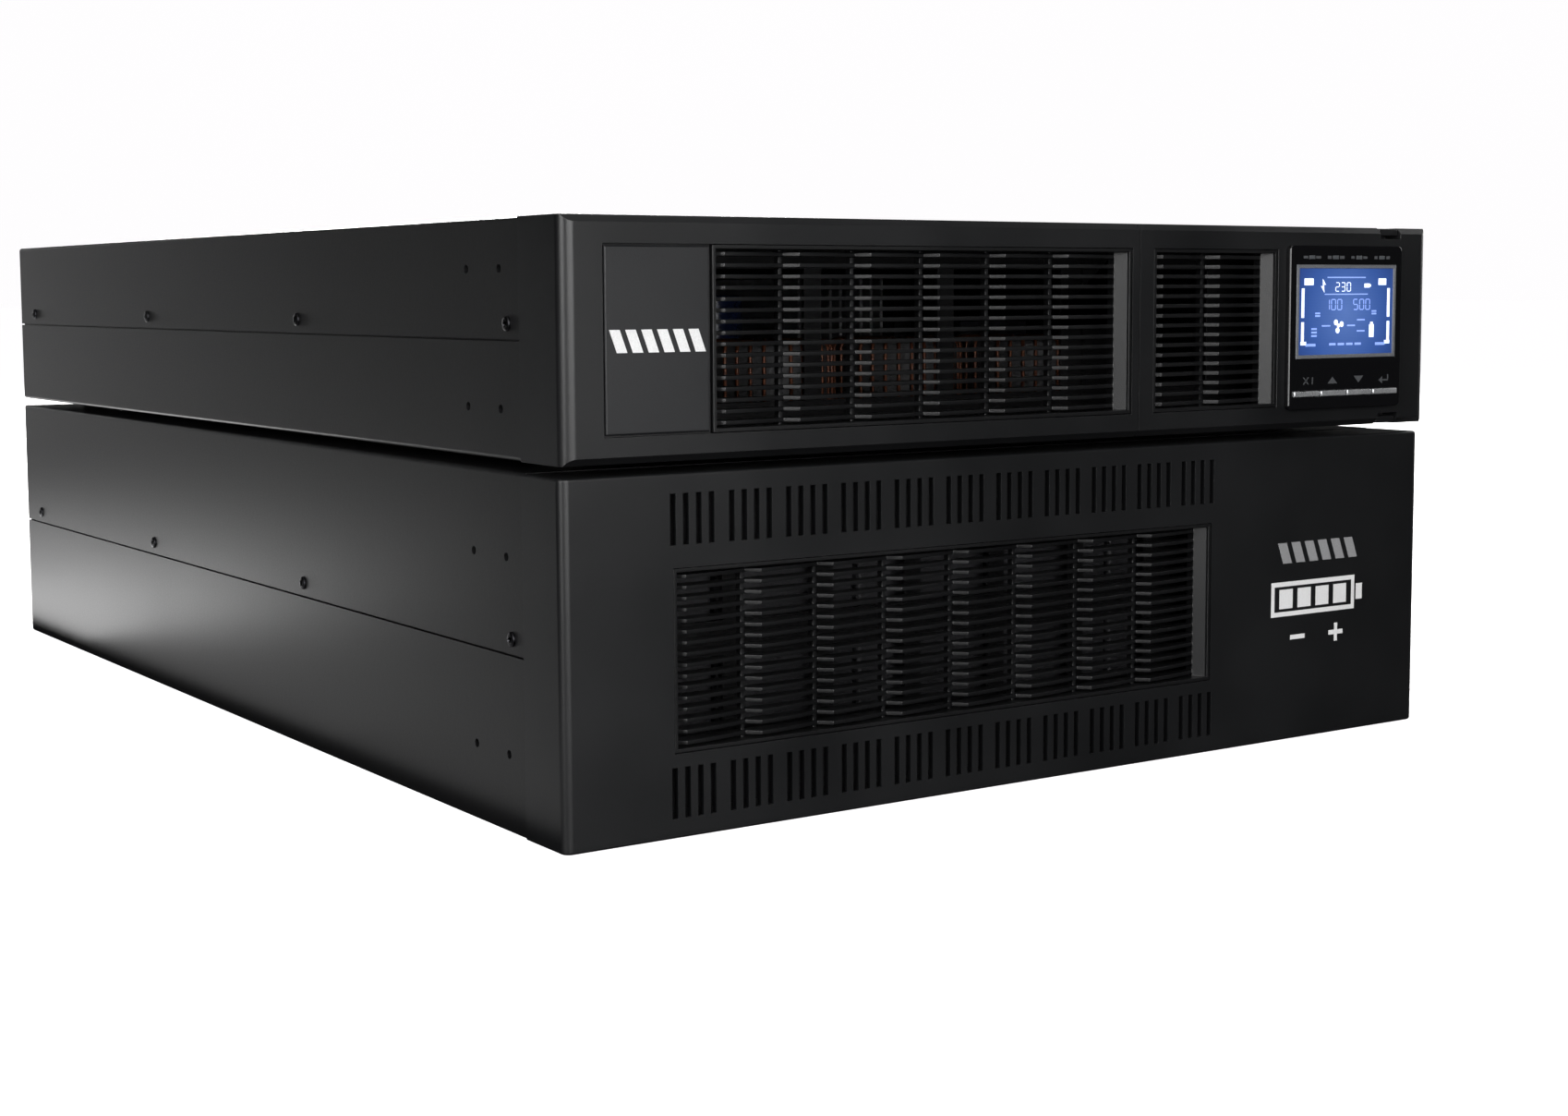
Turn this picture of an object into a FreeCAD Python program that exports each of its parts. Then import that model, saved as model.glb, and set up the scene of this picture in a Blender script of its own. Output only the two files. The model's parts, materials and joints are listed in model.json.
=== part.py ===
import FreeCAD, Part
import math
import os

# Rack-mount uninterruptible power supply: a power module two rack units high, standing on rubber
# feet on a battery pack three rack units high.
#
# Millimetres. +Z is up, the fronts face -Y and +X is the right-hand side seen from the front.
# The origin is the centre of the battery pack's underside.

V = FreeCAD.Vector

# ---------------------------------------------------------------- sizes shared by both units
unit_width = 438.0          # front covers, edge to edge
side_inset = 1.0            # chassis side, behind the edge of the front cover
sheet = 1.2                 # steel sheet of the cases
nest_gap = 0.2              # air between two nested sheets
bend_radius = 1.6           # outer radius of a folded edge
seam_groove = 0.8           # open line between the top cover's edge and the tray's shoulder
seam_overlap = 12.0         # tray wall that stands behind the top cover
panel_sheet = 1.5           # rear panels
cover_wall = 2.5            # moulded front covers
cover_gap = 0.3             # air between a front cover and the chassis or its neighbour

# ---------------------------------------------------------------- batteries set the case length
battery_length = 151.0
battery_width = 65.0
battery_height = 94.0
battery_gap = 1.5
battery_rows = 3
battery_columns = 6
battery_front_room = 8.0
battery_rear_room = 157.0   # wiring, breaker and connectors
battery_lid = 8.0           # from the battery's top to the groove under its lid
battery_corner = 2.0
battery_pad = 0.5           # under the batteries
lid_groove = (1.0, 0.6)     # height and depth
terminal_inset = 9.0        # terminal tab from the case's ends and side
terminal_size = (7.0, 6.3, 6.0)
link_thickness = 1.0
link_width = 8.0
link_overhang = 4.0         # beyond a terminal's middle
hold_down_sheet = 1.5
hold_down_width = 24.0
hold_down_height = 9.0      # lips above the batteries
hold_down_foot = 12.0
hold_down_gap = (2.0, 0.2)  # beside and above the batteries
cable_radius = 3.5
cable_rise = 10.0           # above the links
cable_drop = 22.0           # last bend above the connectors' middle
cable_bends = (12.0, 45.0, 75.0)    # bends behind the last row of batteries

# ---------------------------------------------------------------- heights and depths
pack_height = 132.0
pack_seam = 66.0            # above the pack's underside
ups_height = 86.0
ups_seam = 43.0             # above the power module's underside
foot_height = 4.0
foot_radius = 10.0
foot_inset = 34.0
foot_round = 0.8
foot_rest_gap = 0.1         # between the feet and the pack's top
pack_cover_depth = 29.0
ups_cover_depth = 32.0      # stands a little further forward than the pack's
pack_corner_radius = 3.5
pack_edge_radius = 1.0
ups_corner_radius = 5.0
ups_edge_chamfer = 2.5

# ---------------------------------------------------------------- wave grilles
wave_pitch = 32.2
wave_flank = 4.2            # short steep side of a wave, along X
wave_crest = 0.9            # depth of the crest behind the cover's face
wave_valley = 5.2           # depth of the valley behind the cover's face
slat_pitch = 4.0
slat_thickness = 1.5
grille_depth = 9.0
grille_rim = 1.4
grille_inset = 0.3          # rim behind the cover's face
grille_gap = 0.25           # air round the rim
grille_flange = (1.5, 1.2)  # height and thickness of the flange behind the cover's wall
grille_flange_inset = 12.0  # flange from the rim's ends
rib_width = 1.6
rib_depth = 3.0
left_waves = 6
right_waves = 2
pack_waves = 8

# ---------------------------------------------------------------- battery pack front
pack_window_left = 45.0     # from the left edge
pack_window_low = 31.0      # above the underside
slot_width = 2.4
slot_height = 18.5
slot_pitch = 5.4
slots_in_group = 4
slot_group_pitch = 24.8
slot_groups = 11
slot_first = 45.0           # first slot's centre, from the left edge
slot_margin = 7.5           # from the top and bottom edges
vent_columns = 6            # openings in the tray's front wall
vent_land = 8.0             # steel between two openings
vent_levels = (33.0, 72.6)  # lower edges above the underside
vent_height = 26.4

# ---------------------------------------------------------------- power module front
right_cover_width = 173.5
badge_left = 16.6
badge_width = 42.6
badge_thickness = 2.0
badge_groove = 0.7
window_margin_z = 9.4       # from the module's underside to the windows, and the least above them
badge_backing = 2.0
badge_backing_rim = 1.5
badge_recess = 0.2          # badge plate behind the cover's face
badge_bevel = 0.5
plate_opening_margin = 18.0 # openings in the steel front, from the module's base and top
plate_opening_sides = (5.0, 3.0)
display_wire_hole = 9.0     # radius
left_grille_gap = 1.2       # from the badge plate to the grille's window
right_grille_left = 7.8     # from the seam to the right grille's window
post_rise = 6.2             # posts from the cover's upper and lower edges
post_inset = 9.0            # posts from the cover's ends
post_radius = 2.4
post_length = 9.0           # behind the chassis plate's front
post_gap = 0.3
boss_radius = 2.9

# ---------------------------------------------------------------- turning display
display_size = 70.0
display_from_right = 54.5   # display centre from the cover's right edge
display_plate = 2.0
display_float = 0.3         # air between the display plate and the cover's face
display_corner = 2.0
spigot_radius = 28.7
spigot_bore_gap = 0.3
spigot_wall = 2.2
spigot_behind = 3.0         # spigot length behind the cover's wall
board_radius = 31.5
board_thickness = 1.6
screen_size = (59.0, 37.0)
screen_frame = 1.5
screen_rise = 6.8           # screen centre above the display's centre
screen_depth = 1.2
key_size = (15.4, 2.4)
key_pitch = 16.4
key_drop = 28.3             # key row below the display's centre
key_proud = 0.9
key_thickness = 1.8
key_gap = 0.2
key_round = 0.5
lamp_size = (3.4, 1.6)
lamp_pitch = 14.6
lamp_rise = 30.0
lamp_depth = 1.0
tab_size = (12.0, 7.0, 3.0)
tab_from_right = 24.5       # tab centre from the cover's right edge
tab_gap = 0.4
tab_travel = 1.5
tab_setback = 1.5           # tab behind the cover's face
tab_wall = 1.6              # pocket round a tab
screen_setback = 0.3        # screen behind the display's face
trim_proud = 0.2            # screen frame in front of the display's face
lamp_proud = 0.1
inlay_gap = 0.1             # all round the screen frame and the lamps
board_chip = (18.0, 2.0, 14.0)
board_plug = (10.0, 6.0, 6.0)
board_plug_drop = 16.0
plate_chamfer = 0.4

# ---------------------------------------------------------------- holes and screws on the sides
ear_hole_radius = 1.65      # tapped M4
ear_collar_radius = 3.2
ear_collar_length = 1.5
ear_pitch_y = 26.0
ups_ear_first = 16.5        # first hole behind the chassis front
pack_ear_first = 14.0
ups_ear_heights = (18.0, 68.0)
pack_ear_heights = (29.0, 101.0)
side_screw_first = 10.5     # behind the chassis front
side_screw_pitch = 194.5
side_screws = 4
side_screw_rise = 5.5       # above the seam
screw_head_radius = 3.2
screw_head_height = 1.8
screw_shank_radius = 1.9
screw_hole_radius = 2.0
screw_length = 7.0
head_round = 0.45           # rounding of a screw head, as a share of its height
rear_screw_inset = (2.5, 10.0)  # inward of the folded edge's middle, and from the case's edges

# ---------------------------------------------------------------- fans
fan_size = 80.0
fan_thickness = 25.0
fan_wall = 2.0              # frame beside the bore
fan_corner_radius = 3.0
fan_hole_inset = 4.25       # from the frame's edges
fan_hole_radius = 2.15
fan_from_left = 10.0        # first fan frame from the rear panel's -X edge
fan_spacing = 4.0           # between the two fan frames
fan_hub_radius = 17.0
fan_hub_length = 18.0
fan_blade_gap = 1.4         # between the blade tips and the bore
fan_blades = 7
fan_blade_thickness = 1.6
fan_blade_chord = 19.0
fan_blade_angle = 40.0
fan_base_thickness = 3.0
fan_shaft_radius = 1.5
fan_shaft_gap = 0.05
fan_strut_width = 4.0
guard_wire = 1.8
guard_ring_count = 4
guard_ring_pitch = 8.0
guard_eye_radius = 4.2
fan_end_gap = (0.8, 0.3)    # hub and shaft end from the fan's base and its inner face
fan_hub_round = 1.5
fan_opening_lip = 1.0       # rear panel inside the fan's bore

# ---------------------------------------------------------------- rear panel fittings
opening_gap = 0.4           # a panel opening's size beyond the size of what stands in it
slot_cover_size = (62.0, 24.0)
slot_cover_border = (20.0, 6.0) # cover beyond its opening, in all
slot_cover_gap = 8.0        # from the second fan
slot_cover_drop = 22.0      # centre below the module's top
slot_screw_inset = 5.0
slot_cover_corner = 1.5
terminal_from_right = 8.0   # terminal cover from the rear panel's +X edge
breaker_from_right = 160.0  # input breaker's centre from the same edge
breaker_rise = 56.0         # centres above the module's underside
ups_connector_rise = 18.0
port_rise = 42.0
stud_rise = 16.0
pack_connector_from_left = (82.0, 162.0)    # centres from the pack's rear panel's -X edge
pack_breaker_from_right = 60.0
rear_vents = 10
rear_vent_pitch = 8.64
rear_vent_height = 56.0
terminal_cover_size = (112.0, 24.0, 56.0)
terminal_cover_wall = 2.0
terminal_ways = 6
terminal_block_size = (80.0, 24.0, 20.0)
terminal_block_flange = (86.0, 3.0, 26.0)
terminal_screw_inset = 8.0
terminal_well = (2.5, 7.0)  # wall between two ways, and depth
terminal_clamp = (3.2, 3.5) # radius and height
terminal_clamp_sunk = 0.5
wire_way_margin = (12.0, 6.0)   # from the cover's ends and its outer face
terminal_cover_bend = 2.5
terminal_boss_radius = 4.5
terminal_screw_hold = 4.0   # long screws behind the panel's face
breaker_size = (36.0, 52.0, 46.0)
breaker_nose = (36.0, 6.0, 30.0)
breaker_cheek = 4.0
lever_hub_radius = 7.0
lever_pin_radius = 1.5
lever_pin_gap = 0.05
lever_pin_length = 3.0
lever_gap = 0.4
lever_axis = 1.5            # outside the panel's face
lever_reach = 18.0
lever_thickness = 4.0
lever_rest_angle = 35.0
connector_size = (58.0, 40.0, 24.0)
connector_proud = 12.0
connector_flange = 3.0
connector_cavity = (16.0, 14.0)
connector_cavity_depth = 22.0
connector_cavity_pitch = 26.0
connector_corner = 2.0
connector_ear = 7.0         # flange beyond the housing on each side
connector_flange_step = 6.0 # flange lower than the housing
connector_screw_reach = 3.5 # screws beyond the housing
serial_shell = (17.0, 8.4)
serial_flange = (31.0, 12.5)
serial_flange_corner = 2.0
serial_depth = 6.0          # shell on each side of the panel's face
serial_slope = 1.4
serial_wall = 0.8
serial_pin = (0.5, 5.0)     # radius and length
serial_pin_pitch = (2.7, 2.8)
jack_offset = 12.5          # jack screws from the socket's centre
jack_hex = 2.6
jack_length = 4.0
jack_bore = 1.4
port_wall = 1.0             # square port and header
usb_size = (12.0, 16.0, 11.0)
usb_tongue = (5.6, 9.0, 3.2)
usb_cavity_depth = 9.0
off_port_size = (13.0, 12.0, 9.0)
off_port_proud = 2.0
off_port_cavity_depth = 8.0
off_port_pin = (0.6, 8.0)   # radius and length
off_port_pin_pitch = 5.0
serial_offset = -15.0       # ports from the slot cover's centre
usb_offset = 9.5
off_port_offset = 24.0
stud_radius = 2.5
stud_length = 16.0
stud_hex = 4.6
stud_nut = 4.0              # nut's thickness
stud_head = (4.5, 3.0)      # radius and thickness, inside the panel
stud_gap = 0.1

# ---------------------------------------------------------------- inside the power module
board_lift = 8.0
board_from_front = 60.0
pillar_radius = 3.5
pillar_inset = 8.0
control_pillars_x = (5.0, 16.0) # from the control board's left and right edges
control_pillars_y = (6.0, 12.0) # from its front and rear edges
board_size = (396.0, 470.0)
heatsink_size = (52.0, 230.0, 56.0)
heatsink_base = 6.0
heatsink_fins = 9
heatsink_offset = 70.0      # from the middle of the case
heatsink_start = 150.0      # behind the board's front edge, as are the next starts
fin_thickness = 1.6
capacitor_radius = 17.5
capacitor_height = 48.0
capacitor_count = 6
capacitor_start = 165.0
capacitor_gap = 3.0
capacitor_round = 2.0
inductor_radius = 30.0
inductor_hole = 13.0
inductor_height = 28.0
inductor_count = 4
inductor_start = 60.0
inductor_gap = 12.0
inductor_round = 4.0
module_size = (44.0, 36.0, 34.0)
modules_each_side = 4
module_start = 140.0
module_gap = 20.0
module_inset = 16.0         # from the board's side edge
control_board_size = (68.0, 60.0)
control_chip = (22.0, 14.0, 24.0, 2.5)  # place along X and Y, edge length and height
control_board_gap = 1.0     # behind the rear panel

# ---------------------------------------------------------------- derived places
half_width = unit_width / 2
half_chassis = half_width - side_inset
half_strip = half_chassis - sheet - nest_gap       # outside of the tray's overlap strip
half_inside = half_strip - sheet                   # clear inside of the overlap strip
chassis_length = (
    battery_front_room
    + battery_rows * battery_length
    + (battery_rows - 1) * battery_gap
    + battery_rear_room
)
pack_front = -(chassis_length + pack_cover_depth) / 2
chassis_front = pack_front + pack_cover_depth
rear = chassis_front + chassis_length
ups_front = chassis_front - ups_cover_depth
ups_base = pack_height + foot_height
ups_top = ups_base + ups_height
cover_split = half_width - right_cover_width       # seam between the two front covers
wave_slats = int((ups_height - 2 * window_margin_z - 2 * grille_rim) / slat_pitch)
window_height = wave_slats * slat_pitch + 2 * grille_rim
ups_window_low = ups_base + window_margin_z
display_x = half_width - display_from_right
display_z = ups_base + ups_height / 2
display_front = ups_front - display_float - display_plate
plate_half = half_inside - cover_gap               # half width of the front and rear plates
panel_flange = side_screw_first - screw_shank_radius - 2 * cover_gap   # folded edges, clear of the side screws
left_window = badge_left + badge_width + left_grille_gap - half_width
right_window = cover_split + right_grille_left
fan_places = [-plate_half + fan_from_left + fan_size / 2 + n * (fan_size + fan_spacing) for n in (0, 1)]
fan_z = ups_base + ups_height / 2
fan_bore_radius = fan_size / 2 - fan_wall
fan_blade_radius = fan_bore_radius - fan_blade_gap
fan_hole_pitch = fan_size - 2 * fan_hole_inset
guard_rings = [fan_bore_radius - fan_wall - n * guard_ring_pitch for n in range(guard_ring_count)]
breaker_x = plate_half - breaker_from_right
breaker_z = ups_base + breaker_rise
ups_connector_z = ups_base + ups_connector_rise
terminal_x = plate_half - terminal_cover_size[0] / 2 - terminal_from_right
slot_cover_x = fan_places[1] + fan_size / 2 + slot_cover_gap + slot_cover_size[0] / 2
slot_cover_z = ups_top - slot_cover_drop
port_z = ups_base + port_rise
off_port_z = port_z - usb_size[2] / 2 + off_port_size[2] / 2   # stands on the same board as the square port
stud_z = ups_base + stud_rise
pack_connector_places = [-plate_half + place for place in pack_connector_from_left]
pack_breaker_x = plate_half - pack_breaker_from_right
pack_middle = pack_height / 2
battery_base = sheet + battery_pad
board_front = chassis_front + board_from_front
board_top = ups_base + board_lift + board_thickness
tab_x = half_width - tab_from_right


# ---------------------------------------------------------------- small tools
def box(x0, x1, y0, y1, z0, z1):
    return Part.makeBox(x1 - x0, y1 - y0, z1 - z0, V(x0, y0, z0))


def block(centre_x, size_x, y0, y1, centre_z, size_z):
    """A box that is centred across X and Z."""
    return box(centre_x - size_x / 2, centre_x + size_x / 2, y0, y1,
               centre_z - size_z / 2, centre_z + size_z / 2)


def rod_x(radius, x0, x1, y, z):
    return Part.makeCylinder(radius, x1 - x0, V(x0, y, z), V(1, 0, 0))


def rod_y(radius, x, y0, y1, z):
    return Part.makeCylinder(radius, y1 - y0, V(x, y0, z), V(0, 1, 0))


def rod_z(radius, x, y, z0, z1):
    return Part.makeCylinder(radius, z1 - z0, V(x, y, z0), V(0, 0, 1))


def fuse(shapes):
    shapes = list(shapes)
    return shapes[0].multiFuse(shapes[1:]).removeSplitter()


def prism(points, direction):
    """A flat outline, swept along direction."""
    return Part.Face(Part.makePolygon(points + points[:1])).extrude(direction)


def edges_along(shape, axis, test):
    """Straight edges that run along one axis and whose middle passes the test."""
    found = []
    for edge in shape.Edges:
        ends = [v.Point for v in edge.Vertexes]
        if len(ends) != 2:
            continue
        run = ends[1] - ends[0]
        if abs(abs(run.dot(axis)) - run.Length) < 1e-6 and test((ends[0] + ends[1]) * 0.5):
            found.append(edge)
    return found


def rear_drill(x, z, radius=screw_hole_radius):
    """A drill through a rear panel and what lies on it."""
    return rod_y(radius, x, rear - 5, rear + 5, z)


def rear_opening(x, size_x, z, size_z):
    """A rectangular opening in a rear panel, a little larger than what stands in it."""
    return block(x, size_x + opening_gap, rear - 5, rear + 1, z, size_z + opening_gap)


def front_drill(x, z, radius=screw_hole_radius):
    """A drill through the steel wall behind a front cover."""
    return rod_y(radius, x, chassis_front - 1, chassis_front + 3, z)


def hexagon(x, z, radius, y0, length):
    """A hexagonal nut along Y."""
    corners = [math.radians(60 * k) for k in range(6)]
    return prism([V(x + radius * math.cos(a), y0, z + radius * math.sin(a)) for a in corners], V(0, length, 0))


def four_corners(x, z, pitch):
    return [(x + sx * pitch / 2, z + sz * pitch / 2) for sx in (-1, 1) for sz in (-1, 1)]


def save(name, shapes):
    """Writes one sub-part: every closed solid in it, as one STEP file."""
    solids = [s for shape in (shapes if isinstance(shapes, list) else [shapes]) for s in shape.Solids]
    for solid in solids:
        assert solid.isValid() and solid.Volume > 0, name
    whole = solids[0] if len(solids) == 1 else Part.makeCompound(solids)
    whole.exportStep(os.path.join("parts", name + ".step"))
    print(f"{name:26s} {len(solids):3d} solids {sum(s.Volume for s in solids) / 1000:10.2f} cm3")


# ---------------------------------------------------------------- folded steel cases
def ear_holes(base, first, heights):
    """(y, z) of the four tapped holes on each side that take a rack ear."""
    return [(chassis_front + first + n * ear_pitch_y, base + h) for n in (0, 1) for h in heights]


def side_screw_places(base, seam):
    return [(chassis_front + side_screw_first + n * side_screw_pitch, base + seam + side_screw_rise)
            for n in range(side_screws)]


def add_ear_holes(shape, places):
    """A collar inside each side wall, and the tapped hole through wall and collar."""
    wall = half_chassis - sheet
    collars = []
    holes = []
    for y, z in places:
        for side in (-1, 1):
            inner = sorted((side * (wall - ear_collar_length), side * (wall + sheet / 2)))
            through = sorted((side * (wall - ear_collar_length - 1), side * (half_chassis + 1)))
            collars.append(rod_x(ear_collar_radius, inner[0], inner[1], y, z))
            holes.append(rod_x(ear_hole_radius, through[0], through[1], y, z))
    return fuse([shape] + collars).cut(holes)


def side_screw_holes(base, seam):
    span = half_chassis + 5
    return [rod_x(screw_hole_radius, -span, span, y, z) for y, z in side_screw_places(base, seam)]


def case_tray(base, seam, ear_places):
    """Bottom and lower sides, with a joggled strip that stands inside the top cover."""
    shoulder = base + seam - seam_groove
    strip_top = base + seam + seam_overlap
    shell = box(-half_chassis, half_chassis, chassis_front, rear, base, shoulder)
    low = edges_along(shell, V(0, 1, 0), lambda p: p.z < base + 0.1)
    shell = shell.makeFillet(bend_radius, low)
    strip = box(-half_strip, half_strip, chassis_front, rear, shoulder - sheet, strip_top)
    inside = half_chassis - sheet
    hollow = box(-inside, inside, chassis_front - 1, rear + 1, base + sheet, shoulder - sheet)
    low = edges_along(hollow, V(0, 1, 0), lambda p: p.z < base + sheet + 0.1)
    hollow = hollow.makeFillet(bend_radius - sheet, low)
    mouth = box(-half_inside, half_inside, chassis_front - 1, rear + 1, shoulder - 2 * sheet, strip_top + 1)
    shape = fuse([shell, strip]).cut([hollow, mouth] + side_screw_holes(base, seam))
    return add_ear_holes(shape, ear_places)


def case_cover(base, seam, top, ear_places):
    """Top and upper sides of a case."""
    shell = box(-half_chassis, half_chassis, chassis_front, rear, base + seam, top)
    high = edges_along(shell, V(0, 1, 0), lambda p: p.z > top - 0.1)
    shell = shell.makeFillet(bend_radius, high)
    inside = half_chassis - sheet
    hollow = box(-inside, inside, chassis_front - 1, rear + 1, base + seam - 1, top - sheet)
    high = edges_along(hollow, V(0, 1, 0), lambda p: p.z > top - sheet - 0.1)
    hollow = hollow.makeFillet(bend_radius - sheet, high)
    return add_ear_holes(shell.cut([hollow] + side_screw_holes(base, seam)), ear_places)


def side_screw_set(base, seam):
    """Pan-head screws that hold the top cover to the tray's strip, on both sides."""
    made = []
    for y, z in side_screw_places(base, seam):
        for side in (-1, 1):
            head = sorted((side * half_chassis, side * (half_chassis + screw_head_height)))
            shank = sorted((side * (half_chassis - screw_length), side * half_chassis))
            screw = fuse([rod_x(screw_head_radius, head[0], head[1], y, z),
                          rod_x(screw_shank_radius, shank[0], shank[1], y, z)])
            made.append(round_head(screw, lambda p, s=side: p.x * s > half_chassis + 1))
    return made


def inside_screw(x, z, seat, head_radius):
    """A screw from inside the case, through the front wall into a boss of a front cover."""
    head = rod_y(head_radius, x, seat, seat + screw_head_height, z)
    shank = rod_y(screw_shank_radius, x, seat - screw_length, seat, z)
    return fuse([head, shank])


def rear_screw(x, z, outer_face=0.0):
    """A pan-head screw through the rear panel."""
    face = rear + outer_face
    screw = fuse([rod_y(screw_head_radius, x, face, face + screw_head_height, z),
                  rod_y(screw_shank_radius, x, face - screw_length, face, z)])
    return round_head(screw, lambda p: p.y > face + 1)


def round_head(screw, on_top):
    rim = [e for e in screw.Edges if len(e.Vertexes) == 1 and on_top(e.Vertexes[0].Point)]
    return screw.makeFillet(screw_head_height * head_round, rim)


def flanged_plate(y_face, inward, thickness, z0, z1):
    """A plate whose four edges are folded inward: inward is +1 along +Y and -1 along -Y."""
    deep = sorted((y_face, y_face + inward * panel_flange))
    hollow = sorted((y_face + inward * thickness, y_face + inward * (panel_flange + 1)))
    shell = box(-plate_half, plate_half, deep[0], deep[1], z0, z1)
    return shell.cut(box(-plate_half + thickness, plate_half - thickness, hollow[0], hollow[1],
                         z0 + thickness, z1 - thickness))


# ---------------------------------------------------------------- wave grilles
def window_width(waves):
    return waves * wave_pitch + wave_flank + 2 * grille_rim


def wave_outline(start, face, waves):
    """Plan outline of one slat: steep flanks and long falling arcs in front, straight at the back."""
    edges = []
    for n in range(waves):
        x = start + n * wave_pitch
        valley = V(x, face + wave_valley, 0)
        crest = V(x + wave_flank, face + wave_crest, 0)
        end = V(x + wave_pitch, face + wave_valley, 0)
        shoulder = V(x + wave_flank + (wave_pitch - wave_flank) * 0.5,
                     face + wave_crest + (wave_valley - wave_crest) * 0.32, 0)
        edges.append(Part.makeLine(valley, crest))
        edges.append(Part.Arc(crest, shoulder, end).toShape())
    back = face + grille_depth
    last = start + waves * wave_pitch
    edges.append(Part.makeLine(V(last, face + wave_valley, 0), V(last, back, 0)))
    edges.append(Part.makeLine(V(last, back, 0), V(start, back, 0)))
    edges.append(Part.makeLine(V(start, back, 0), V(start, face + wave_valley, 0)))
    return Part.Face(Part.Wire(edges))


def wave_grille(window_x, window_z, face, waves):
    """Rim, wavy slats and the upright ribs behind them, moulded as one insert."""
    x0 = window_x + grille_gap
    x1 = window_x + window_width(waves) - grille_gap
    z0 = window_z + grille_gap
    z1 = window_z + window_height - grille_gap
    front = face + grille_inset
    back = face + grille_depth
    rim = box(x0, x1, front, back, z0, z1)
    rim = rim.cut(box(x0 + grille_rim, x1 - grille_rim, front - 1, back + 1, z0 + grille_rim, z1 - grille_rim))
    start = window_x + grille_rim
    end = start + waves * wave_pitch
    outline = wave_outline(start, face, waves)
    end_wall = prism([V(end, face + wave_valley, z0), V(x1, front, z0), V(x1, back, z0), V(end, back, z0)],
                     V(0, 0, z1 - z0))
    pieces = [rim, end_wall]
    for edge in (z0 - grille_flange[0], z1):
        pieces.append(box(x0 + grille_flange_inset, x1 - grille_flange_inset, face + cover_wall,
                          face + cover_wall + grille_flange[1], edge, edge + grille_flange[0]))
    for n in range(wave_slats):
        z = window_z + grille_rim + (n + 0.5) * slat_pitch - slat_thickness / 2
        slat = outline.extrude(V(0, 0, slat_thickness))
        slat.translate(V(0, 0, z))
        pieces.append(slat)
    for n in range(1, waves):
        x = start + n * wave_pitch - rib_width
        pieces.append(box(x, x + rib_width, back - rib_depth, back, z0 + grille_rim / 2, z1 - grille_rim / 2))
    return fuse(pieces)


def window_cut(window_x, window_z, face, waves):
    return box(window_x, window_x + window_width(waves), face - 5, face + cover_wall + 5,
               window_z, window_z + window_height)


# ---------------------------------------------------------------- battery pack
def pack_tray():
    """Tray with its front wall folded up; the wall has vents behind the grille."""
    tray = case_tray(0.0, pack_seam, ear_holes(0.0, pack_ear_first, pack_ear_heights[:1]))
    wall_top = pack_height - sheet - cover_gap
    wall = box(-plate_half, plate_half, chassis_front, chassis_front + sheet, sheet / 2, wall_top)
    vents = []
    vent_pitch = wave_pitch * pack_waves / vent_columns
    for n in range(vent_columns):
        x = pack_window_left - half_width + (n + 0.5) * vent_pitch
        for low in vent_levels:
            vents.append(block(x, vent_pitch - vent_land, chassis_front - 1, chassis_front + 3,
                               low + vent_height / 2, vent_height))
    return fuse([tray, wall.cut(vents + [front_drill(x, z) for x, z in pack_boss_places()])])


def pack_boss_places():
    """Where the front cover is screwed to the tray's front wall, from inside."""
    x = half_width - 2 * post_inset
    return [(sx * x, z) for sx in (-1, 1) for z in (2 * post_inset, pack_height - 2 * post_inset)]


def pack_top_cover():
    return case_cover(0.0, pack_seam, pack_height, ear_holes(0.0, pack_ear_first, pack_ear_heights[1:]))


def pack_rear_panel():
    panel = flanged_plate(rear, -1, panel_sheet, sheet + cover_gap, pack_height - sheet - cover_gap)
    cuts = [breaker_cutout(pack_breaker_x, pack_middle)]
    for place in pack_connector_places:
        cuts.append(rear_opening(place, connector_size[0], pack_middle, connector_size[2]))
        cuts += [rear_drill(x, z) for x, z in connector_screw_places(place, pack_middle)]
    cuts += [rear_drill(x, z) for x, z in rear_screw_places(0.0, pack_height)]
    for n in range(rear_vents):
        cuts.append(block(n * rear_vent_pitch + slot_width / 2, slot_width, rear - 5, rear + 1,
                          pack_middle, rear_vent_height))
    return panel.cut(cuts)


def rear_screw_places(base, height):
    """Four corners of a rear panel, clear of its folded edges."""
    x = plate_half - panel_flange / 2 - rear_screw_inset[0]
    return [(sx * x, base + z) for sx in (-1, 1) for z in (rear_screw_inset[1], height - rear_screw_inset[1])]


def slot_x(group, n):
    return slot_first + group * slot_group_pitch + n * slot_pitch - half_width


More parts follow.
